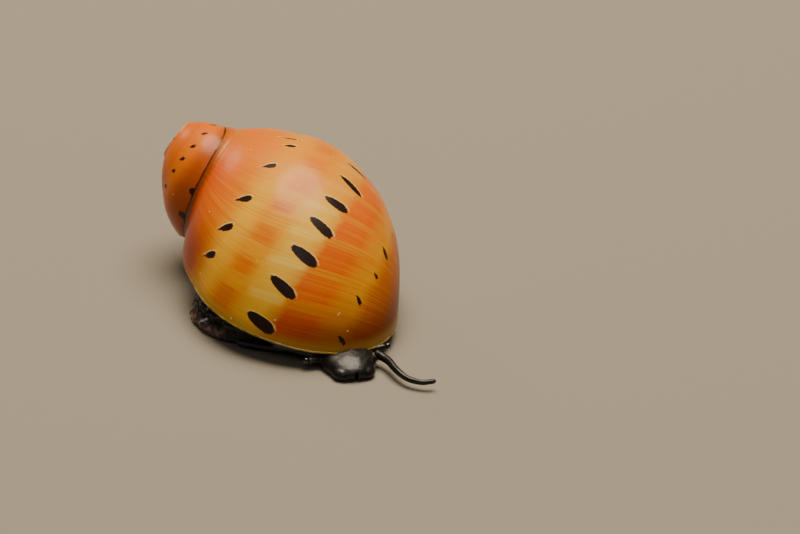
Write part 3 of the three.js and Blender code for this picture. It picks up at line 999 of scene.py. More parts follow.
@dataclass
class Shell:
    """The shell from the worn tip to the mouth, one closed wall with a hollow mouth.

    Attributes:
        end: the half turn of the mouth's edge.
        hollow_start: the half turn at which the hollow behind the mouth begins.
        wall: the wall's thickness in millimetres.
        hollow_depth: how far the hollow goes up from the mouth's plane.
        hollow_back: where the hollow ends, behind the shell's axis.
        worn_facing: where the worn tip faces.
        worn_place: where it lies before the apex.
        belly_middle: the middle of the ball that rounds the spire's underside.
        last_start: the half turn at which the last whorl begins.
        top_rod: the rod that fills the tip: its two ends below the apex, and its radius.
        core_rod: the rod that fills the axis.
        fine_step: degrees between the last whorl's sections.
        spire_step: degrees between the spire's sections.
        suture_points: how many points the suture is measured from.
        pause_marks: the section angles between which a spot marks a pause in growth.
        pause_length: half the length of the shortest spot that does.
    """

    start: float = -7.5
    end: float = 0.3
    hollow_start: float = -1.05
    wall: float = 0.8
    hollow_depth: float = 3.6
    hollow_back: float = 0.9
    worn_facing: Vector = field(default_factory=lambda: Vector((-0.834, 0.258, 0.486)).normalized())
    worn_place: float = -0.25
    belly_middle: tuple[float, float, float] = (2.6, -2.9, 6.2)
    belly_radii: tuple[float, float, float] = (4.7, 4.0, 3.5)
    last_start: float = -1.8
    top_rod: tuple[float, float, float] = (0.2, 1.6, 0.9)
    core_rod: tuple[float, float, float] = (1.5, 12.5, 0.2)
    fine_step: float = 1.5
    fine_across: int = 110
    spire_step: float = 3.0
    spire_across: int = 60
    suture_points: int = 2400
    pause_marks: tuple[float, float] = (-20, 0)
    pause_length: float = 0.6

    def mesh(self) -> bpy.types.Mesh:
        """Builds the wall: whorls joined, cut by the mouth's plane, hollowed, and worn at the tip.

        Returns:
            The wall in triangles.
        """
        body = SPIRAL.whorls(self.last_start, self.end, 0, self.fine_step, self.fine_across)
        spire = SPIRAL.whorls(self.start, self.last_start + self.fine_step / 180, 0,
                              self.spire_step, self.spire_across)
        body = combined(body, spire, Cut.JOIN)
        for rod in (self.top_rod, self.core_rod):
            body = combined(body, SPIRAL.axis_rod(*rod), Cut.JOIN)
        hollow = SPIRAL.whorl(self.hollow_start, self.end, -self.wall, 3, 60)
        hollow = combined(hollow, MOUTH.slab(-1, self.hollow_depth), Cut.KEEP)
        hollow = combined(hollow, behind_axis(self.hollow_back), Cut.TAKE)
        kept = combined(MOUTH.slab(0, FAR), BASE.cutter(), Cut.KEEP)
        kept = combined(kept, ball(self.belly_radii, Vector(self.belly_middle)), Cut.JOIN)
        body = combined(body, kept, Cut.KEEP)
        body = combined(body, hollow, Cut.TAKE)
        turn = UP.rotation_difference(self.worn_facing)
        tip = block((FAR, FAR, FAR), (0, 0, FAR / 2 + self.worn_place), turn, UP * SPIRAL.apex_height)
        body = combined(body, tip, Cut.TAKE)
        return largest(body)

    def suture_distance(self, mesh: bpy.types.Mesh, turns: np.ndarray, faces: np.ndarray) -> np.ndarray:
        """Measures from the suture.

        Args:
            mesh: the shell's mesh.
            turns: the turn of each corner of each face, in radians.
            faces: the three points of each face.

        Returns:
            Each corner's distance in millimetres, negative on the whorl above the suture.
        """
        line = math.pi * np.linspace(self.start + 2, self.end, self.suture_points)
        out, down = SPIRAL.outline(line, SPIRAL.suture_share(line), 0)
        tree = KDTree(len(line))
        for i, point in enumerate(SPIRAL.placed(line, out, down)):
            tree.insert(point, i)
        tree.balance()
        distance = np.zeros(len(mesh.vertices))
        nearest = np.zeros(len(mesh.vertices), int)
        for vertex in mesh.vertices:
            _, nearest[vertex.index], distance[vertex.index] = tree.find(vertex.co)
        own = np.abs(turns.mean(1)[:, None] - line[nearest[faces]]) < math.pi
        return np.where(own, 1, -1) * distance[faces]

    def dress(self, mesh: bpy.types.Mesh) -> None:
        """Stores on the mesh the values that its material reads.

        Args:
            mesh: the shell's mesh, in triangles.
        """
        faces = np.zeros(len(mesh.polygons) * 3, int)
        mesh.polygons.foreach_get("vertices", faces)
        faces = faces.reshape(-1, 3)
        points = positions(mesh)
        turns, angles, _ = SPIRAL.unrolled(points, faces)
        surface = ShellSurface(turns, angles)
        marks = spot_rows()
        grown = surface.growth_turn()
        low, high = self.pause_marks
        pauses = sorted(mark.half_turns - slant(np.array(mark.angle)) for mark in marks
                        if mark.half_length > self.pause_length and low < mark.angle < high)
        distance, side = surface.spots(marks)
        worn = (points - np.array((0, 0, SPIRAL.apex_height))) @ np.array(self.worn_facing)
        values = {
            "girdle": angles,
            "pause": np.interp(grown, pauses, np.arange(len(pauses))),
            "spot": distance,
            "side": side,
            "rim": MOUTH.over(points)[faces],
            "worn": (self.worn_place - worn)[faces],
            "suture": self.suture_distance(mesh, turns, faces),
            "age": grown,
        }
        for name, data in values.items():
            layer = mesh.attributes.new(name, "FLOAT", "CORNER")
            layer.data.foreach_set("value", data.astype(np.float32).ravel())
        layer = mesh.uv_layers.new(name="growth")
        layer.data.foreach_set("uv", surface.in_mm().astype(np.float32).ravel())

    def build(self) -> bpy.types.Object:
        """Builds and dresses the shell.

        Returns:
            The shell's piece.
        """
        mesh = self.mesh()
        self.dress(mesh)
        return finished("shell", mesh, ShellFinish().material(),
                        ["shell_body_whorl", "shell_spire"], 35)


# The shell's paint, in tables. Angles on the section are in degrees from the whorl's widest line,
# the age is in half turns, and lengths are in millimetres.

SHELL_VALUES = ("girdle", "pause", "spot", "side", "rim", "worn", "suture", "age")

# Each noise: its grain along growth and up the section, and its detail.
SHELL_NOISES: dict[str, tuple[float, float, float]] = {
    "drift": (1.2, 5, 3),
    "jitter": (0.5, 8, 3),
    "fine": (0.16, 14, 4),
    "hair": (0.05, 5, 1),
    "patches": (2.5, 2.5, 2),
    "sway": (2, 2, 3),
    "frayed": (0.18, 0.3, 2),
    "mottle": (0.2, 1.2, 3),
    "quiver": (0.3, 0.3, 3),
    "pits": (0.5, 0.5, 3),
    "chips": (0.25, 0.25, 5),
    "dust_and_glints": (3, 3, 3),
    "ribs": (0.5, 20, 3),
}

# Each sum: its name, its operation, and its terms.
SHELL_SUMS: tuple[tuple[str | float, ...], ...] = (
    ("wander", "MULTIPLY_ADD", "drift", 7.0, -3.5),
    ("place", "ADD", "girdle", "wander"),
    ("round", "MULTIPLY_ADD", "place", 1 / 180, 0.5),
    ("stripe at", "MULTIPLY_ADD", "jitter", 0.3, "pause"),
    ("stripe", "PINGPONG", "stripe at", 0.5),
    ("patch near", "ADD", "pause", "jitter"),
    ("patch at", "ADD", "patch near", -0.3),
    ("patch", "PINGPONG", "patch at", 0.5),
    ("ridge height", "MULTIPLY_ADD", "sway", 0.5, -0.75),
    ("over ridge", "ADD", "rim", "ridge height"),
    ("ridge", "ABSOLUTE", "over ridge"),
    ("ragged", "MULTIPLY_ADD", "frayed", 0.12, -0.07),
    ("edge", "ADD", "spot", "ragged"),
    ("off suture", "ABSOLUTE", "suture"),
    ("seam", "MULTIPLY_ADD", "quiver", -0.1, "off suture"),
    ("chalk", "MULTIPLY_ADD", "pits", 0.4, "worn"),
    ("ribbed", "MULTIPLY", "ribs", 0.6),
    ("relief", "MULTIPLY_ADD", "fine", 0.6, "ribbed"),
)

SHELL_BANDS: Stops = (
    (-88, "#8E3800"), (-60, "#AE5000"), (-47, "#C46600"), (-41, "#E09600"), (-35, "#E08A00"),
    (-29, "#DE6400"), (-16, "#E16200"), (-13, "#E8A020"), (-7, "#F4BE3A"), (1, "#F2B830"),
    (8, "#ECA00C"), (20, "#EC9A08"), (28, "#EFAF20"), (34, "#F0B024"), (40, "#EC9A10"),
    (47, "#E87E00"), (57, "#E76A00"), (68, "#E05800"), (77, "#CE4C00"), (88, "#A63C00"),
)

# Each ramp: the value that it reads, and its colours.
SHELL_RAMPS: dict[str, tuple[str, Stops]] = {
    "bands": ("round", tuple((angle / 180 + 0.5, colour) for angle, colour in SHELL_BANDS)),
    "pigment": ("mottle", ((0, "#1A0E0C"), (1, "#33211A"))),
    "bone": ("chips", ((0.35, "#7A4E22"), (0.5, "#C79A56"), (0.68, "#EAD9A0"))),
}


@dataclass(frozen=True)
class Coat:
    """One coat of colour over the coats before it.

    Attributes:
        colour: its sRGB hex, or the name of a ramp.
        strength: its greatest share.
        fades: each a value's name and the two levels between which the coat goes from nought to
            one, or from one share to another where the fade gives them.
        blend: how it mixes with what lies below.
    """

    colour: str
    strength: float
    fades: tuple[tuple[str | float, ...], ...]
    blend: str = "MIX"


SHELL_COATS = (
    # Growth pauses draw pale stripes across the deep orange band below the middle row.
    Coat("#DE8A00", 0.75, (("stripe", 0.34, 0.44), ("place", -44, -38), ("place", -12, -15))),
    Coat("#DE6E00", 0.8, (("patch", 0.36, 0.2), ("place", 5, 13), ("place", 25, 17))),
    Coat("#FAD25E", 0.6, (("stripe", 0.34, 0.44), ("place", -14, -10), ("place", 8, 2))),
    # Fine streaks follow the growth lines, and a few of them are drawn sharply.
    Coat("#F6AE1C", 0.45, (("fine", 0.48, 0.8),)),
    Coat("#B45400", 0.35, (("fine", 0.5, 0.25),)),
    Coat("#FFCC50", 0.3, (("hair", 0.66, 0.74), ("patches", 0.4, 0.62), ("girdle", 58, 34))),
    Coat("#8A4200", 0.28, (("hair", 0.34, 0.26), ("patches", 0.4, 0.62), ("girdle", 58, 34))),
    # The older side and the spire are burnt deeper.
    Coat("#E07A06", 0.6, (("age", -0.6, -0.76), ("place", -26, -12))),
    Coat("#DA6200", 0.72, (("age", -1.9, -2.1),)),
    Coat("#A84408", 0.75, (("age", -1.9, -2.1), ("place", 26, 4))),
    # Partly painted shade: the underside near the lip goes dark brown, both for its thin last growth over
    # dark flesh and for the shade under the shell's turn.
    Coat("#6E2A00", 0.5, (("rim", 3.0, 0.8), ("place", -10, -40))),
    # Painted shade: the shell darkens towards the lip, where it turns away from the light, and less so on
    # the lit upper side.
    Coat("#CDB48C", 1.0, (("rim", 4.4, 0.8), ("place", -18, -4, 1.0, 0.35)), "MULTIPLY"),
    # Painted shade: the upper flank darkens towards the lip, where the shell turns away from the light.
    Coat("#B07868", 1.0, (("rim", 5.6, 1.5), ("place", 26, 54)), "MULTIPLY"),
    # The lip is thin, translucent and olive, with a faint ridge and a bright rim.
    Coat("#9C7A2C", 0.7, (("rim", 1.1, 0.3), ("age", -1.3, -1.0), ("place", 52, 30))),
    Coat("#E0B868", 0.2, (("ridge", 0.09, 0.02), ("place", -25, 10), ("age", -1.3, -1.0))),
    Coat("#E8D08A", 0.6, (("rim", 0.09, 0.02), ("age", -1.3, -1.0))),
    # A spot is near black, with a pale edge on the side that grew first.
    Coat("#FFE69A", 0.55, (("edge", 0.1, 0.03), ("side", 0.1, -0.8), ("place", -34, -14),
                           ("age", -1.9, -1.5))),
    Coat("pigment", 1.0, (("edge", 0.02, -0.02),)),
    # The suture is a thin dark line with a shadow below it.
    Coat("#4E3208", 1.0, (("suture", 1.1, 0.1), ("suture", -0.02, 0.02),
                          ("age", -0.8, -0.55, 0.35, 0.75))),
    Coat("#341008", 0.9, (("seam", 0.07, -0.01),)),
    # The worn tip is chalky and pitted.
    Coat("bone", 1.0, (("chalk", 0.36, 0.2),)),
    # A few pale grains cling to the shell; their pale specks also stand in for the glints of small water
    # drops, so they are partly painted glints.
    Coat("#FFE9BE", 0.7, (("grains", 0.09, 0.05), ("dust_and_glints", 0.5, 0.6))),
)


@dataclass(frozen=True)
class ShellFinish:
    """Polished calcite under a thin horny skin: hard, smooth and as shiny as enamel."""

    name: str = "Nerite shell, polished calcite"
    roughness: float = 0.3
    coat: float = 0.05
    coat_roughness: float = 0.14
    specular: float = 0.22
    ior: float = 1.5
    grains_per_mm: float = 0.9
    relief_share: float = 0.55
    relief_mm: float = 0.04

    def values(self, tree: bpy.types.NodeTree) -> dict[str, bpy.types.NodeSocket]:
        """Makes every value and ramp that the coats read.

        Args:
            tree: the material's node tree.

        Returns:
            Their sockets by name.
        """
        made = {name: add_node(tree, "ShaderNodeAttribute", attribute_name=name).outputs["Fac"]
                for name in SHELL_VALUES}
        grown = add_node(tree, "ShaderNodeUVMap", uv_map="growth").outputs[0]
        for name, (along, up, detail) in SHELL_NOISES.items():
            drawn = add_node(tree, "ShaderNodeMapping", {0: grown, 3: (1 / along, 1 / up, 1)})
            made[name] = add_node(tree, "ShaderNodeTexNoise", {
                "Vector": drawn.outputs[0], "Scale": 1.0, "Detail": detail}).outputs["Fac"]
        made["grains"] = add_node(tree, "ShaderNodeTexVoronoi", {
            "Vector": grown, "Scale": self.grains_per_mm}).outputs["Distance"]
        for name, operation, *terms in SHELL_SUMS:
            inputs = {place: made.get(term, term) for place, term in enumerate(terms)}
            made[name] = add_node(tree, "ShaderNodeMath", inputs, operation=operation).outputs[0]
        for name, (value, stops) in SHELL_RAMPS.items():
            made[name] = add_node(tree, "ShaderNodeValToRGB", {0: made[value]}, stops=stops).outputs[0]
        return made

    def material(self) -> bpy.types.Material:
        """Lays the coats over the bands, and rules the surface with growth lines.

        Returns:
            The material.
        """
        material, tree, shader = new_material(self.name)
        made = self.values(tree)
        colour = made["bands"]
        for coat in SHELL_COATS:
            share: object = coat.strength
            for value, *levels in coat.fades:
                rise = add_node(tree, "ShaderNodeMapRange", {0: made[value], **dict(enumerate(levels, 1))},
                                interpolation_type="SMOOTHSTEP")
                share = add_node(tree, "ShaderNodeMath", {0: rise.outputs[0], 1: share},
                                 operation="MULTIPLY").outputs[0]
            above = made[coat.colour] if coat.colour in made else linear(coat.colour)
            colour = add_node(tree, "ShaderNodeMix", {0: share, 6: colour, 7: above},
                              data_type="RGBA", blend_type=coat.blend).outputs[2]
        bump = add_node(tree, "ShaderNodeBump", {
            "Strength": self.relief_share, "Distance": self.relief_mm * MM, "Height": made["relief"]})
        fill(tree, shader, {
            "Base Color": colour, "Normal": bump.outputs[0], "Roughness": self.roughness, "IOR": self.ior,
            "Coat Weight": self.coat, "Coat Roughness": self.coat_roughness,
            "Specular IOR Level": self.specular})
        return material


# Paths and what is grown on them


def smooth_path(points: tuple[tuple[float, float, float], ...], count: int, fine: int = 40) -> np.ndarray:
    """Runs a smooth curve through a few points.

    Args:
        points: the points.
        count: how many points are wanted.
        fine: how many trial points each stretch has.

    Returns:
        Evenly spread points on the curve.
    """
    last = len(points) - 1
    curve = curve_through(np.array(points, float), np.linspace(0, last, fine * last + 1))
    length = np.concatenate([[0], np.cumsum(np.linalg.norm(np.diff(curve, axis=0), axis=1))])
    even = np.linspace(0, length[-1], count)
    return np.stack([np.interp(even, length, curve[:, i]) for i in range(3)], 1)


def grown_on(path: np.ndarray, closed: bool, tree: bpy.types.NodeTree, values: dict) -> bpy.types.Mesh:
    """Runs a geometry tree on a path and makes the result a plain mesh.

    Args:
        path: the path's points.
        closed: whether its last point joins its first.
        tree: the geometry tree.
        values: the value of each of the tree's named inputs.

    Returns:
        The mesh.
    """
    edges = [(i, i + 1) for i in range(len(path) - 1)]
    if closed:
        edges.append((len(path) - 1, 0))
    line = bpy.data.meshes.new("path")
    line.from_pydata(path.tolist(), edges, [])
    carrier = bpy.data.objects.new("path", line)
    bpy.context.scene.collection.objects.link(carrier)
    modifier = carrier.modifiers.new("grown", "NODES")
    modifier.node_group = tree
    for item in tree.interface.items_tree:
        if item.item_type == "SOCKET" and item.in_out == "INPUT" and item.name in values:
            modifier[item.identifier] = values[item.name]
    graph = bpy.context.evaluated_depsgraph_get()
    result = bpy.data.meshes.new_from_object(carrier.evaluated_get(graph))
    carrier.modifiers.remove(modifier)
    bpy.data.objects.remove(carrier)
    return result


def geometry_tree(name: str, inputs: dict[str, tuple[str, object]]) -> tuple[bpy.types.NodeTree, dict]:
    """Starts a geometry tree with named inputs.

    Args:
        name: the tree's name.
        inputs: each input's kind of socket and default value.

    Returns:
        The tree, and each input's output socket by name.
    """
    tree = bpy.data.node_groups.new(name, "GeometryNodeTree")
    tree.interface.new_socket("Geometry", in_out="INPUT", socket_type="NodeSocketGeometry")
    tree.interface.new_socket("Geometry", in_out="OUTPUT", socket_type="NodeSocketGeometry")
    for label, (kind, value) in inputs.items():
        socket = tree.interface.new_socket(label, in_out="INPUT", socket_type=kind)
        if value is not None:
            socket.default_value = value
    start = add_node(tree, "NodeGroupInput")
    return tree, {socket.name: socket for socket in start.outputs if socket.name}


def end_tree(tree: bpy.types.NodeTree, geometry: bpy.types.NodeSocket,
             material: bpy.types.NodeSocket) -> None:
    """Ends a geometry tree: instances made real, the material set, and the result given out.

    Args:
        tree: the geometry tree.
        geometry: what it has made.
        material: the material that goes on it.
    """
    real = add_node(tree, "GeometryNodeRealizeInstances", {0: geometry})
    painted = add_node(tree, "GeometryNodeSetMaterial", {"Geometry": real.outputs[0], "Material": material})
    add_node(tree, "NodeGroupOutput", {0: painted.outputs[0]})


def feeler_tree(sides: int = 24, round_from: float = 0.965, tip_left: float = 0.995) -> bpy.types.NodeTree:
    """Builds the tree of a tapering, faintly ringed tube with a round tip, along a path.

    Args:
        sides: how many sides the tube has.
        round_from: the share of the length at which the tip begins to round off.
        tip_left: how far the rounding goes at the very end.

    Returns:
        The tree.
    """
    tree, given = geometry_tree("tapering feeler", {
        "Base radius": ("NodeSocketFloat", 0.36),
        "Tip radius": ("NodeSocketFloat", 0.2),
        "Rings": ("NodeSocketFloat", 40.0),
        "Ring depth": ("NodeSocketFloat", 0.03),
        "Steps": ("NodeSocketInt", 200),
        "Material": ("NodeSocketMaterial", None),
    })
    curve = add_node(tree, "GeometryNodeMeshToCurve", {0: given["Geometry"]})
    even = add_node(tree, "GeometryNodeResampleCurve", {"Curve": curve.outputs[0], "Count": given["Steps"]})
    share = add_node(tree, "GeometryNodeSplineParameter").outputs["Factor"]
    taper = add_node(tree, "ShaderNodeMapRange", {0: share, 3: given["Base radius"], 4: given["Tip radius"]})
    tip = add_node(tree, "ShaderNodeMapRange", {0: share, 1: round_from, 2: 1.0, 3: 0.0, 4: tip_left})
    made = {**given, "share": share, "taper": taper.outputs[0], "tip": tip.outputs[0]}
    for name, operation, *terms in (
        ("rings so far", "MULTIPLY", "share", "Rings"),
        ("angle", "MULTIPLY", "rings so far", 2 * math.pi),
        ("wave", "SINE", "angle"),
        ("swell", "MULTIPLY", "wave", "Ring depth"),
        ("ringed", "ADD", 1.0, "swell"),
        ("tip squared", "MULTIPLY", "tip", "tip"),
        ("roundness", "SUBTRACT", 1.0, "tip squared"),
        ("rounding", "SQRT", "roundness"),
        ("ringed taper", "MULTIPLY", "taper", "ringed"),
        ("radius", "MULTIPLY", "ringed taper", "rounding"),
    ):
        inputs = {place: made.get(term, term) for place, term in enumerate(terms)}
        made[name] = add_node(tree, "ShaderNodeMath", inputs, operation=operation).outputs[0]
    profile = add_node(tree, "GeometryNodeCurvePrimitiveCircle", {"Resolution": sides, "Radius": 1.0})
    tube = add_node(tree, "GeometryNodeCurveToMesh", {
        "Curve": even.outputs[0], "Profile Curve": profile.outputs[0], "Scale": made["radius"],
        "Fill Caps": True})
    end_tree(tree, tube.outputs[0], given["Material"])
    return tree


def lip_tree(sides: int = 16) -> bpy.types.NodeTree:
    """Builds the tree of a rounded bead along a path, such as the edge of a lip.

    Args:
        sides: how many sides the bead has.

    Returns:
        The tree.
    """
    tree, given = geometry_tree("lip bead", {
        "Radius": ("NodeSocketFloat", 0.12),
        "Steps": ("NodeSocketInt", 400),
        "Material": ("NodeSocketMaterial", None),
    })
    curve = add_node(tree, "GeometryNodeMeshToCurve", {0: given["Geometry"]})
    even = add_node(tree, "GeometryNodeResampleCurve", {"Curve": curve.outputs[0], "Count": given["Steps"]})
    profile = add_node(tree, "GeometryNodeCurvePrimitiveCircle", {
        "Resolution": sides, "Radius": given["Radius"]})
    bead = add_node(tree, "GeometryNodeCurveToMesh", {
        "Curve": even.outputs[0], "Profile Curve": profile.outputs[0], "Fill Caps": True})
    end_tree(tree, bead.outputs[0], given["Material"])
    return tree


def teeth_tree(smallest: float = 0.7, largest_size: float = 1.1) -> bpy.types.NodeTree:
    """Builds the tree of a row of small blunt teeth along a path.

    Args:
        smallest: the smallest tooth's share of the given size.
        largest_size: the largest one's.

    Returns:
        The tree.
    """
    tree, given = geometry_tree("row of teeth", {
        "Count": ("NodeSocketInt", 9),
        "Size": ("NodeSocketFloat", 0.3),
        "Seed": ("NodeSocketInt", 3),
        "Material": ("NodeSocketMaterial", None),
    })
    curve = add_node(tree, "GeometryNodeMeshToCurve", {0: given["Geometry"]})
    spots = add_node(tree, "GeometryNodeCurveToPoints", {
        "Curve": curve.outputs[0], "Count": given["Count"]}, mode="COUNT")
    tooth = add_node(tree, "GeometryNodeMeshIcoSphere", {"Radius": given["Size"], "Subdivisions": 3})
    scale = add_node(tree, "FunctionNodeRandomValue", {2: smallest, 3: largest_size, "Seed": given["Seed"]})
    put = add_node(tree, "GeometryNodeInstanceOnPoints", {
        "Points": spots.outputs["Points"], "Instance": tooth.outputs["Mesh"], "Scale": scale.outputs[1]})
    end_tree(tree, put.outputs[0], given["Material"])
    return tree


# The lips of the shell and its door


@dataclass(frozen=True)
class CloudedFinish:
    """A natural gloss finish whose colour drifts in soft clouds.

    Attributes:
        per_mm: how many clouds a millimetre has.
        stops: the colours that they run through.
    """

    name: str
    per_mm: float
    detail: float
    stops: Stops
    roughness: float
    coat: float
    coat_roughness: float = 0.03

    def material(self) -> bpy.types.Material:
        """Makes the clouds and the gloss.

        Returns:
            The material.
        """
        material, tree, shader = new_material(self.name)
        place = add_node(tree, "ShaderNodeTexCoord").outputs["Object"]
        clouds = add_node(tree, "ShaderNodeTexNoise", {
            "Vector": place, "Scale": self.per_mm / MM, "Detail": self.detail})
        tint = add_node(tree, "ShaderNodeValToRGB", {0: clouds.outputs["Fac"]}, stops=self.stops)
        fill(tree, shader, {
            "Base Color": tint.outputs[0], "Roughness": self.roughness, "Coat Weight": self.coat,
            "Coat Roughness": self.coat_roughness})
        return material


# The inner lip is smooth porcelain-like callus: cream, flushed with orange, and a little waxy.
CALLUS = CloudedFinish("Shell callus, porcelain cream", 0.4, 3.0,
                       ((0.3, "#E3A65A"), (0.55, "#EBD3A0"), (0.8, "#F2E6C8")), 0.25, 0.4, 0.1)

# The growing edge of the lip is thin horn over new shell: olive, glossy, and paler where it is worn.
LIP_HORN = CloudedFinish("Shell lip edge, olive horn", 1.2, 4.0,
                         ((0.35, "#6E5A1E"), (0.55, "#A8882E"), (0.75, "#D9C070")), 0.18, 0.5)

# The eye is a clear cornea over black, a touch brown at its base: the glossiest thing on the animal.
CORNEA = CloudedFinish("Snail eye, black cornea", 3.0, 2.0,
                       ((0.4, "#020203"), (0.8, "#120C0A")), 0.06, 1.0, 0.02)


@dataclass
class Lips:
    """The bead round the mouth's edge and the shelf of the inner lip with its teeth.

    Attributes:
        bead: the bead's radius in millimetres.
        bead_steps: how many steps it has all round.
        bead_in: how far it lies inside the shell's edge, in its own radii.
        bead_up: how far it lies over the mouth's plane.
        edge_level: how near the mouth's plane a point of the shell's edge lies.
        overlap: how far round each direction looks for the edge, in half steps.
        deck_edge: how far the shelf's edge lies from the shell's axis.
        deck_recess: how far the shelf lies over the mouth's plane.
        deck_back: where it ends, behind the axis.
        wall: the shell's wall and a gap, which the shelf is kept within.
        teeth_reach: half the length of the row of teeth.
        tooth_inset: how far the row lies behind the shelf's edge.
        voxel: the grain with which shelf and teeth are fused.
    """

    bead: float = 0.1
    bead_steps: int = 420
    bead_in: float = 0.85
    bead_up: float = 0.3
    edge_level: float = 2e-3
    overlap: float = 1.6
    smoothings: int = 3
    deck_edge: float = 5.6
    deck_recess: float = 0.2
    deck_thickness: float = 1.0
    deck_back: float = 1.2
    wall: float = 1.1
    teeth_reach: float = 3.4
    teeth: int = 7
    tooth_radius: float = 0.34
    tooth_inset: float = 0.12
    row_points: int = 12
    voxel: float = 0.11

    def edge(self, shell: bpy.types.Object, steps: int = 240) -> np.ndarray:
        """Finds the outline of the shell's cut edge.

        Args:
            shell: the finished shell.
            steps: how many directions are looked in.

        Returns:
            A closed path just inside the edge's outer corner.
        """
        points = positions(shell.data) / MM - np.array(centring())
        flat = points[np.abs(MOUTH.over(points)) < self.edge_level]
        middle = np.array(Foot().middle)
        offset = flat - middle
        round_it = np.arctan2(offset[:, 1], offset[:, 0])
        reach = np.hypot(offset[:, 0], offset[:, 1])
        outline = []
        for i in range(steps):
            angle = -math.pi + 2 * math.pi * (i + 0.5) / steps
            aside = np.abs((round_it - angle + math.pi) % (2 * math.pi) - math.pi)
            near = aside < math.pi / steps * self.overlap
            if near.any():
                outline.append(flat[near][np.argmax(reach[near])])
        path = np.array(outline)
        for _ in range(self.smoothings):
            path = (np.roll(path, 1, 0) + 2 * path + np.roll(path, -1, 0)) / 4
        inwards = middle - path
        inwards[:, 2] = 0
        inwards /= np.linalg.norm(inwards, axis=1)[:, None]
        lift = np.array(MOUTH.up()) * self.bead * self.bead_up
        return path + inwards * self.bead * self.bead_in + lift

    def build_bead(self, shell: bpy.types.Object) -> bpy.types.Object:
        """Builds the rounded bead of the lip's edge.

        Args:
            shell: the finished shell.

        Returns:
            The bead.
        """
        material = LIP_HORN.material()
        bead = grown_on(self.edge(shell), True, lip_tree(), {
            "Radius": self.bead, "Steps": self.bead_steps, "Material": material})
        return finished("lip_edge", bead, material, [], 60)

    def build_callus(self) -> bpy.types.Object:
        """Builds the shelf that the shell's mouth has on its inner side.

        Returns:
            The shelf with its teeth.
        """
        material = CALLUS.material()
        deck = SPIRAL.whorl(Shell.hollow_start, Shell.end, -self.wall, 3, 60)
        low = self.deck_recess
        deck = combined(deck, MOUTH.slab(low, low + self.deck_thickness), Cut.KEEP)
        deck = combined(deck, behind_axis(self.deck_edge), Cut.KEEP)
        deck = combined(deck, behind_axis(self.deck_back), Cut.TAKE)
        azimuth = math.radians(SPIRAL.axis_azimuth)
        along = Vector((math.cos(azimuth), math.sin(azimuth), 0))
        across = Vector((math.sin(azimuth), -math.cos(azimuth), 0))
        middle = Vector(Foot().middle)
        start = along * middle.dot(along) + across * (self.deck_edge - self.tooth_inset)
        ends = [start - along * self.teeth_reach, start + along * self.teeth_reach]
        for end in ends:
            end.z = MOUTH.height_at(end.x, end.y) + low + self.deck_thickness / 2
        path = np.linspace(np.array(ends[0]), np.array(ends[1]), self.row_points)
        teeth = grown_on(path, False, teeth_tree(), {
            "Count": self.teeth, "Size": self.tooth_radius, "Material": material})
        fused = ("REMESH", {"mode": "VOXEL", "voxel_size": self.voxel})
        deck = largest(worked([joined([deck, teeth])], [fused]))
        deck = worked([deck], [("SMOOTH", {"factor": 0.5, "iterations": 6})])
        return finished("inner_lip", deck, material, ["shell_inner_lip"], 60)


@dataclass(frozen=True)
class OperculumFinish:
    """The door is chalk under brown horn: satin, ringed, darker towards its edge."""

    name: str = "Operculum, horn over chalk"
    roughness: float = 0.42
    horn: Stops = ((0.0, "#3A2418"), (0.5, "#6A4A34"), (1.0, "#8F7458"))

    def material(self) -> bpy.types.Material:
        """Makes brown horn with darker growth rings.

        Returns:
            The material.
        """
        material, tree, shader = new_material(self.name)
        ring = add_node(tree, "ShaderNodeAttribute", attribute_name="ring").outputs["Fac"]
        tint = add_node(tree, "ShaderNodeValToRGB", {0: ring}, stops=self.horn)
        fill(tree, shader, {"Base Color": tint.outputs[0], "Roughness": self.roughness})
        return material


@dataclass
class Operculum:
    """The flat door that the animal carries on the back of its foot, under the inner lip.

    Attributes:
        share: its reach, as a share of the sole's.
        gap: how far it stays below the mouth's plane.
        edge_share: how thick its edge is, as a share of its thickness.
        edge_power: how suddenly it thins towards the edge.
        inmost: the share of its reach at which its rings begin.
        tones: the rings' brightness in its middle, and how much it falls towards the edge.
        head_gap: how far it stays off the head.
    """

    share: float = 0.8
    thickness: float = 0.7
    gap: float = 0.3
    rings: int = 11
    ring_depth: float = 0.05
    edge_share: float = 0.5
    edge_power: int = 8
    inmost: float = 0.02
    tones: tuple[float, float] = (1.15, 0.5)
    head_gap: float = 0.2
    around: int = 160
    across: int = 90

    def build(self) -> bpy.types.Object:
        """Builds a half-round plate whose two faces carry growth rings.

        Returns:
            The plate.
        """
        angle = np.linspace(0, 2 * math.pi, self.around, endpoint=False)
        rows = []
        outwards = np.linspace(self.inmost, 1, self.across)
        inwards = np.linspace(1, self.inmost, self.across)
        for i, part in enumerate((*outwards, *inwards)):
            face = Foot().sole_edge(angle, np.full(self.around, self.share * part))
            top = i >= self.across
            bulge = self.thickness / 2 * (1 - (1 - self.edge_share) * part ** self.edge_power)
            ridge = self.ring_depth * math.sin(2 * math.pi * self.rings * part)
            lift = -self.gap - self.thickness / 2 + (bulge if top else -bulge) + ridge
            face[:, 2] = MOUTH.height_at(face[:, 0], face[:, 1]) + lift
            rows.append(face)
        plate = lofted(np.array(rows))
        plate = combined(plate, behind_axis(Lips.deck_edge), Cut.KEEP)
        head = Head()
        plate = combined(plate, ball(head.radii(self.head_gap), head.middle, head.heading()), Cut.TAKE)
        points = positions(plate)
        share = Foot().share_of(points) / self.share
        layer = plate.attributes.new("ring", "FLOAT", "POINT")
        tone = 0.5 + 0.5 * np.sin(2 * math.pi * self.rings * share)
        bright, fall = self.tones
        layer.data.foreach_set("value", (tone * (bright - fall * share)).astype(np.float32))
        return finished("operculum_plate", plate, OperculumFinish().material(),
                        ["operculum"], 30)


# Flesh


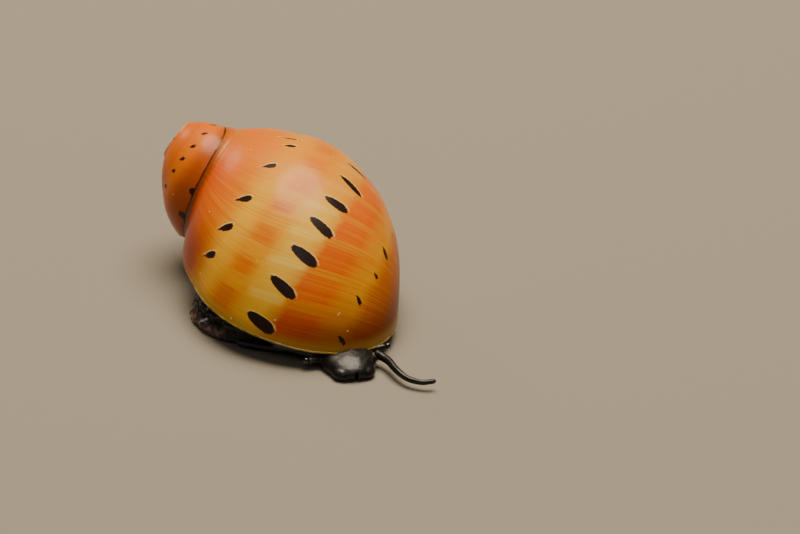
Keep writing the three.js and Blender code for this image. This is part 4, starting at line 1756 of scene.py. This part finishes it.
@dataclass(frozen=True)
class Head:
    """The low broad snout: its middle, its half sizes in millimetres and where it looks."""

    middle: Vector = Vector((15.3, -17.6, 0.5))
    facing: float = -72
    half_length: float = 3.5
    half_width: float = 2.4
    half_height: float = 1.15

    def heading(self) -> float:
        """Gives the facing in radians."""
        return math.radians(self.facing)

    def radii(self, grow: float) -> tuple[float, float, float]:
        """Gives the half sizes, grown by a clearance."""
        return (self.half_length + grow, self.half_width + grow, self.half_height + grow)


@dataclass
class Foot:
    """The foot's outline and side, in millimetres, before the solids' centring.

    Attributes:
        squareness: the power of its outline, two being an ellipse.
        side: the share of the sole's size at shares of the foot's height.
        folds: how many folds the side has from sole to shell.
        fold_depth: how deep they are, as a share of the sole's size.
        crumple: how deep the finer crumpling is.
        wander: how many times round the sole the folds rise and sink, and by how much of a fold.
        crumples: how fine the crumpling is round the sole and up its side.
        fade: how soon above the floor the folds are full, as one over a share of the height.
    """

    middle: tuple[float, float, float] = (10.2, -11.0, 0)
    half_length: float = 7.5
    half_width: float = 5.6
    squareness: float = 2.5
    side: tuple[tuple[float, float], ...] = (
        (0, 0.985), (0.1, 1.02), (0.24, 1.03), (0.36, 0.99), (0.44, 0.95),
        (0.56, 0.975), (0.75, 0.955), (0.9, 0.9), (1, 0.84),
    )
    folds: float = 3.1
    fold_depth: float = 0.014
    crumple: float = 0.022
    wander: tuple[float, float] = (3, 0.7)
    crumples: tuple[float, float] = (22, 4)
    fade: float = 8
    around: int = 420
    levels: int = 60

    def edge_reach(self, angle: np.ndarray) -> np.ndarray:
        """Gives how far the sole's edge lies from its middle.

        Args:
            angle: the direction, in radians.

        Returns:
            The distance in that direction.
        """
        power = self.squareness
        long = np.abs(np.cos(angle) / self.half_length) ** power
        wide = np.abs(np.sin(angle) / self.half_width) ** power
        return (long + wide) ** (-1 / power)

    def sole_edge(self, angle: np.ndarray, share: np.ndarray) -> np.ndarray:
        """Gives points on the floor.

        Args:
            angle: their directions from the sole's middle, in radians.
            share: their shares of the sole's size.

        Returns:
            The points.
        """
        reach = self.edge_reach(angle) * share
        flat = np.stack([np.cos(angle) * reach, np.sin(angle) * reach, np.zeros_like(angle)], -1)
        return flat + np.array(self.middle)

    def share_of(self, points: np.ndarray) -> np.ndarray:
        """Gives which share of the sole's size each point lies at, seen from above."""
        x, y = points[:, 0] - self.middle[0], points[:, 1] - self.middle[1]
        return np.hypot(x, y) / self.edge_reach(np.arctan2(y, x))

    def pad(self, gap: float) -> bpy.types.Mesh:
        """Makes the pad from the sole to just under the shell, with folds that follow the lip.

        Args:
            gap: how far it stays below the mouth's plane.

        Returns:
            The pad.
        """
        angle = np.linspace(0, 2 * math.pi, self.around, endpoint=False)
        heights, shares = np.array(self.side).T
        rounds, sway = self.wander
        fine_round, fine_up = self.crumples
        rows = []
        for height in np.linspace(0, 1, self.levels):
            share = np.interp(height, heights, shares)
            fold = np.zeros(self.around)
            for j, a in enumerate(angle):
                wander = noise.noise(Vector((rounds * math.cos(a), rounds * math.sin(a), 2.0)))
                long = math.sin(2 * math.pi * (self.folds * height + sway * wander))
                short = noise.noise(Vector((
                    fine_round * math.cos(a), fine_round * math.sin(a), fine_up * height)))
                fold[j] = self.fold_depth * long + self.crumple * short
            row = self.sole_edge(angle, share + fold * min(1, height * self.fade))
            row[:, 2] = height * (MOUTH.height_at(row[:, 0], row[:, 1]) - gap)
            rows.append(row)
        return lofted(np.array(rows))


@dataclass(frozen=True)
class SkinFinish:
    """Snail skin wet with mucus: near black, soft, folded, and shiny along its ridges."""

    name: str = "Snail skin, wet black"
    blotches: Stops = ((0.3, "#050404"), (0.7, "#15100E"))
    # The margin's mauve brown is the foot's own, but its palest stop is lightened to stand in for highlights
    # on the margin's lumps, so it is partly a painted highlight.
    margin: Stops = ((0.35, "#33241F"), (0.52, "#664C46"), (0.68, "#A2867E"))
    sole: str = "#6E625C"
    # Painted highlight: the blue grey laid along the top of the feeler by the foot's front edge.
    painted_feeler_highlight: str = "#4A525C"
    roughness: tuple[float, float] = (0.3, 0.42)
    wet_from: float = 0.3
    wet_to: float = 0.7
    coat: float = 0.12
    coat_roughness: float = 0.12
    specular: float = 0.35
    relief_share: float = 0.35
    relief_mm: float = 0.05
    # Each noise's grain in millimetres, and its detail.
    grains: dict[str, tuple[float, float]] = field(default_factory=lambda: {
        "blotches": (0.9, 4), "margin": (0.5, 4), "wet": (0.6, 3), "pimples": (0.22, 4)})

    def material(self) -> bpy.types.Material:
        """Makes black skin, mauve brown at the foot's margin, grey on the sole, with a painted blue grey
        highlight along a feeler.

        Returns:
            The material.
        """
        material, tree, shader = new_material(self.name)
        place = add_node(tree, "ShaderNodeTexCoord").outputs["Object"]
        made = {name: add_node(tree, "ShaderNodeTexNoise", {
            "Vector": place, "Scale": 1 / (size * MM), "Detail": detail}).outputs["Fac"]
            for name, (size, detail) in self.grains.items()}
        colour = add_node(tree, "ShaderNodeValToRGB", {0: made["blotches"]}, stops=self.blotches).outputs[0]
        margin = add_node(tree, "ShaderNodeValToRGB", {0: made["margin"]}, stops=self.margin).outputs[0]
        for name, above in (("margin", margin), ("sole", linear(self.sole)), ("painted_feeler_highlight", linear(self.painted_feeler_highlight))):
            share = add_node(tree, "ShaderNodeAttribute", attribute_name=name).outputs["Fac"]
            colour = add_node(tree, "ShaderNodeMix", {0: share, 6: colour, 7: above},
                              data_type="RGBA").outputs[2]
        low, high = self.roughness
        wet = add_node(tree, "ShaderNodeMapRange", {
            0: made["wet"], 1: self.wet_from, 2: self.wet_to, 3: low, 4: high})
        bump = add_node(tree, "ShaderNodeBump", {
            "Strength": self.relief_share, "Distance": self.relief_mm * MM, "Height": made["pimples"]})
        fill(tree, shader, {
            "Base Color": colour, "Roughness": wet.outputs[0], "Normal": bump.outputs[0],
            "Coat Weight": self.coat, "Coat Roughness": self.coat_roughness,
            "Specular IOR Level": self.specular})
        return material


@dataclass
class Flesh:
    """The animal's one skin: foot, column into the shell, mantle edge, head, feelers and stalks.

    Attributes:
        gap: how far the skin stays off the shell, in millimetres.
        voxel: the grain with which the parts are fused.
        pleat: the height of one pleat on the foot's side.
        pleat_depth: how deep the pleats are.
        mantle_levels: its underside and top over the mouth's plane.
        column_levels: where the column to the muscle begins and ends.
        door_levels: the room for the operculum.
        lip_forward: how far the two lips lie before the snout's middle.
        slit_forward: how far the mouth's slit lies before the snout's middle.
        tentacles: the paths of the right and left tentacle.
        tentacle_size: their radii at head and tip, and how many rings they have.
        stalks: the paths of the right and left eye stalk.
        door_gap: the gap between the skin and the operculum's straight edge.
        bumps: the finest bumps' heights, and how many there are in a millimetre.
        wander: how many times in a millimetre the pleats rise and sink, and by how much of one.
        pleated: the heights, and the shares of the sole's size, between which the pleats begin.
        clear: the shares of the sole's size past which a point lies outside the foot.
        calm: how much of the bumps a feeler lacks.
        sole_heights: the heights between which the sole begins.
        flat_below: the height below which it is pressed flat.
        margin_heights: the heights between which the margin's colour ends; next, its other bounds.
        feeler_x: where the painted highlight, a pale band along the foot's front edge, ends, to the right
            and the back.
        feeler_heights: the heights between which that painted highlight begins.
    """

    gap: float = 0.08
    voxel: float = 0.1
    pleat: float = 0.62
    pleat_depth: float = 0.07
    eye_radius: float = 0.26
    room: float = 0.3
    mantle_width: float = 0.6
    mantle_levels: tuple[float, float] = (0.2, 1.4)
    column_levels: tuple[float, float] = (-1.2, 3.1)
    door_levels: tuple[float, float] = (-1.1, FAR)
    lip_forward: float = 2.35
    lip_aside: float = 0.85
    lip_drop: float = 0.08
    lip_radii: tuple[float, float, float] = (1.05, 0.95, 0.62)
    slit_forward: float = 3.3
    slit_drop: float = 0.12
    slit_radii: tuple[float, float, float] = (0.9, 0.14, 0.5)
    tentacles: tuple = (
        ((13.3, -18.4, 0.82), (12.3, -17.95, 0.66), (11.0, -17.45, 0.52), (9.4, -17.22, 0.46),
         (7.8, -17.0, 0.46), (6.6, -16.72, 0.52)),
        ((17.75, -17.75, 0.95), (18.7, -18.7, 0.95), (19.4, -19.9, 0.85), (20.3, -20.9, 0.72),
         (21.5, -21.3, 0.68), (22.6, -21.1, 0.8)),
    )
    tentacle_size: tuple[float, float, int] = (0.36, 0.2, 34)
    stalks: tuple = (
        ((13.6, -18.85, 0.7), (12.75, -19.2, 0.78), (12.3, -19.4, 0.82)),
        ((17.2, -17.0, 0.75), (18.15, -16.6, 0.9), (18.6, -16.4, 0.95)),
    )
    stalk_size: tuple[float, float, int] = (0.34, 0.26, 3)
    eye_gap: float = 0.02
    door_gap: float = 0.15
    column_gap: float = 0.1
    bumps: tuple[tuple[float, float], ...] = ((0.05, 1.6), (0.03, 4.5))
    wander: tuple[float, float] = (0.7, 1.2)
    pleated: tuple[tuple[float, float], ...] = ((1.0, 1.3), (0.8, 0.86))
    clear: tuple[float, float] = (1.04, 1.08)
    calm: float = 0.8
    sole_heights: tuple[float, float] = (0.12, 0.02)
    flat_below: float = 0.06
    margin_heights: tuple[float, float] = (1.25, 0.55)
    margin_shares: tuple[float, float] = (0.85, 0.95)
    margin_front: tuple[float, float] = (-16.4, -15.4)
    feeler_x: tuple[float, float] = (13.0, 12.4)
    feeler_y: tuple[float, float] = (-16.4, -16.7)
    feeler_heights: tuple[float, float] = (0.5, 0.75)
    replaced: tuple[str, ...] = ("foot", "mantle_edge", "head", "tentacle_right", "tentacle_left",
                                 "eye_stalk_right", "eye_stalk_left")

    def feeler(self, points: tuple, base: float, tip: float, rings: int) -> bpy.types.Mesh:
        """Grows one feeler on its path, from a base radius to a tip radius, with faint rings."""
        return grown_on(smooth_path(points, 60), False, feeler_tree(), {
            "Base radius": base, "Tip radius": tip, "Rings": rings, "Steps": 220})

    def head(self) -> bpy.types.Mesh:
        """Makes the snout with two soft lips and the slit of the mouth between them.

        Returns:
            The head.
        """
        head = Head()
        heading = head.heading()
        front = Vector((math.cos(heading), math.sin(heading), 0))
        side = Vector((-front.y, front.x, 0))
        snout = ball(head.radii(0), head.middle, heading)
        lips = []
        for hand in (-1, 1):
            lobe = head.middle + front * self.lip_forward + side * (self.lip_aside * hand)
            lips.append(ball(self.lip_radii, lobe - UP * self.lip_drop, heading))
        opening = head.middle + front * self.slit_forward - UP * self.slit_drop
        slit = ball(self.slit_radii, opening, heading)
        whole = combined(combined(snout, lips[0], Cut.JOIN), lips[1], Cut.JOIN)
        return combined(whole, slit, Cut.TAKE)

    def inside(self) -> list[bpy.types.Mesh]:
        """Makes what reaches up into the shell.

        Returns:
            The ring of the mantle's edge, and the column.
        """
        wall = -Shell.wall - self.room
        inner = wall - self.mantle_width
        insets = (wall, inner, inner - self.column_gap)
        ring, core, column = [SPIRAL.whorl(Shell.hollow_start, Shell.end, inset, 3, 60) for inset in insets]
        ring = combined(ring, MOUTH.slab(*self.mantle_levels), Cut.KEEP)
        front = behind_axis(Lips.deck_edge + self.room)
        ring = combined(combined(ring, front, Cut.TAKE), core, Cut.TAKE)
        column = combined(combined(column, MOUTH.slab(*self.column_levels), Cut.KEEP), front, Cut.TAKE)
        return [ring, column]

    def mesh(self) -> bpy.types.Mesh:
        """Fuses all the flesh into one skin and draws its finest folds.

        Returns:
            The skin.
        """
        shell = SPIRAL.whorls(Shell.last_start, Shell.end, self.gap, 3, 60)
        shell = combined(shell, MOUTH.slab(-self.gap, FAR), Cut.KEEP)
        pad = combined(Foot().pad(self.gap), shell, Cut.TAKE)
        straight = behind_axis(Lips.deck_edge + self.door_gap)
        pad = combined(pad, combined(MOUTH.slab(*self.door_levels), straight, Cut.KEEP), Cut.TAKE)
        parts = [pad, *self.inside(), combined(self.head(), shell, Cut.TAKE)]
        parts += [self.feeler(points, *self.tentacle_size) for points in self.tentacles]
        for points in self.stalks:
            stalk = self.feeler(points, *self.stalk_size)
            eye = ball((self.eye_radius + self.eye_gap,) * 3, Vector(points[-1]))
            parts.append(combined(stalk, eye, Cut.TAKE))
        skin = worked([joined(parts)], [
            ("REMESH", {"mode": "VOXEL", "voxel_size": self.voxel}),
            ("SMOOTH", {"factor": 0.5, "iterations": 3}),
        ])
        return self.folded(largest(skin))

    def folded(self, skin: bpy.types.Mesh) -> bpy.types.Mesh:
        """Moves the skin's points in and out by fine folds and pimples, and flattens the sole.

        Args:
            skin: the skin, which is changed.

        Returns:
            The same skin, with the values that its material reads.
        """
        normals = np.zeros(len(skin.vertices) * 3, np.float32)
        skin.vertices.foreach_get("normal", normals)
        normals = normals.reshape(-1, 3)
        points = positions(skin)
        rate, sway = self.wander
        push = np.array([sum(high * noise.noise(Vector(p) * per_mm) for high, per_mm in self.bumps)
                         for p in points])
        share = Foot().share_of(points)
        wander = np.array([noise.noise(Vector(p) * rate) for p in points])
        pleat = np.sin(2 * math.pi * (points[:, 2] / self.pleat + sway * wander))
        heights, shares = self.pleated
        side = ramp(points[:, 2], *heights) * ramp(share, *shares)
        beyond = ramp(share, *self.clear)
        push = (push + self.pleat_depth * pleat * side) * (1 - self.calm * beyond)
        sole = ramp(points[:, 2], *self.sole_heights) * np.clip(-normals[:, 2] * 2, 0, 1)
        points += normals * (push * (1 - sole))[:, None]
        points[:, 2] = np.where(points[:, 2] < self.flat_below, 0, points[:, 2])
        skin.vertices.foreach_set("co", points.astype(np.float32).ravel())
        margin = ramp(points[:, 2], *self.margin_heights) * ramp(share, *self.margin_shares)
        front = ramp(points[:, 1], *self.margin_front)
        # Painted highlight: a blue grey band along the top of the feeler that lies in front of the foot.
        along = ramp(points[:, 0], *self.feeler_x) * ramp(points[:, 1], *self.feeler_y)
        painted_feeler_highlight = along * beyond * ramp(points[:, 2], *self.feeler_heights)
        for name, data in {"margin": margin * front, "sole": sole, "painted_feeler_highlight": painted_feeler_highlight}.items():
            layer = skin.attributes.new(name, "FLOAT", "POINT")
            layer.data.foreach_set("value", data.astype(np.float32))
        return skin

    def build(self) -> bpy.types.Object:
        """Builds and dresses the skin."""
        return finished("skin", self.mesh(), SkinFinish().material(), list(self.replaced), 80)


def build_eyes(flesh: Flesh) -> None:
    """Builds the two round eyes at the ends of their stalks.

    Args:
        flesh: the flesh that the stalks belong to.
    """
    material = CORNEA.material()
    for name, points in zip(("right", "left"), flesh.stalks):
        eye = ball((flesh.eye_radius,) * 3, Vector(points[-1]))
        finished(f"eyeball_{name}", eye, material, [f"eye_{name}"], 80)


# Stage


@dataclass(frozen=True)
class Stage:
    """The plain floor, the soft lights and the camera, in metres.

    Attributes:
        camera_from_apex: the camera's place from there.
        lens: its focal length in millimetres.
        clip: the nearest and farthest that it sees.
        backdrop: the colour of the light from all round.
        backdrop_strength: how strong that light is.
        lights: each light's name, direction, distance, width, power and colour.
    """

    apex: Vector
    camera_from_apex: Vector = Vector((0.0191404, -0.2263332, 0.1091313))
    forward: Vector = Vector((0, 0.882948, -0.469472))
    upward: Vector = Vector((-0.069756, 0.468328, 0.880797))
    lens: float = 136.7
    sensor: float = 36.0
    clip: tuple[float, float] = (0.01, 20.0)
    floor_half: float = 1.5
    floor_colour: str = "#8A8375"
    floor_roughness: float = 0.85
    backdrop: str = "#E6DCCB"
    backdrop_strength: float = 0.1
    lights: tuple[tuple[str, tuple[float, float, float], float, float, float, str], ...] = (
        ("key", (0.0, 0.26, 1.0), 0.6, 0.5, 7.2, "#FFF0D8"),
        ("sheen", (-0.56, 0.66, 0.44), 0.6, 0.16, 0.34, "#FFE9E0"),
        ("front", (-0.1, -1.0, 1.3), 0.7, 0.3, 0.28, "#EEF2FF"),
    )

    def camera(self) -> None:
        """Sets the camera at the photograph's place, height and roll."""
        data = bpy.data.cameras.new("camera")
        data.lens = self.lens
        data.sensor_width = self.sensor
        data.clip_start, data.clip_end = self.clip
        made = bpy.data.objects.new("camera", data)
        right = self.forward.cross(self.upward)
        turned = Matrix((right, self.upward, -self.forward)).transposed().to_4x4()
        made.matrix_world = Matrix.Translation(self.apex + self.camera_from_apex) @ turned
        bpy.context.scene.collection.objects.link(made)
        bpy.context.scene.camera = made

    def floor(self) -> None:
        """Lays a plain pale floor."""
        half = self.floor_half
        points = np.array([(-half, -half, 0), (half, -half, 0), (half, half, 0), (-half, half, 0)])
        mesh = mesh_of(points, [[0, 1, 2, 3]], "floor")
        material, tree, shader = new_material("Pale matt floor")
        fill(tree, shader, {"Base Color": linear(self.floor_colour), "Roughness": self.floor_roughness})
        mesh.materials.append(material)
        made = bpy.data.objects.new("floor", mesh)
        bpy.context.scene.collection.objects.link(made)

    def light(self, name: str, towards: tuple[float, float, float], distance: float, size: float,
              watts: float, colour: str) -> None:
        """Hangs a round soft light that faces the snail.

        Args:
            name: its name.
            towards: its direction from the snail.
            distance: how far off it hangs, in metres.
            size: its width in metres.
            watts: its power.
            colour: its sRGB hex colour.
        """
        data = bpy.data.lights.new(name, "AREA")
        data.shape = "DISK"
        data.size = size
        data.energy = watts
        data.color = linear(colour)[:3]
        made = bpy.data.objects.new(name, data)
        place = Vector(towards).normalized() * distance
        turn = (-place).to_track_quat("-Z", "Y").to_matrix().to_4x4()
        made.matrix_world = Matrix.Translation(place) @ turn
        bpy.context.scene.collection.objects.link(made)

    def build(self) -> None:
        """Sets floor, lights, backdrop light and camera."""
        self.floor()
        for lamp in self.lights:
            self.light(*lamp)
        world = bpy.data.worlds.new("soft grey")
        world.use_nodes = True
        fill(world.node_tree, world.node_tree.nodes["Background"], {
            "Color": linear(self.backdrop), "Strength": self.backdrop_strength})
        bpy.context.scene.world = world
        self.camera()


def main() -> None:
    """Builds the snail piece by piece and reports each."""
    logging.basicConfig(level=logging.INFO, format="%(name)s: %(message)s")
    apex = (centring() + UP * SPIRAL.apex_height) * MM
    Stage(apex).build()
    shell = Shell().build()
    lips = Lips()
    lips.build_bead(shell)
    lips.build_callus()
    Operculum().build()
    flesh = Flesh()
    flesh.build()
    build_eyes(flesh)


if __name__ == "__main__":
    main()
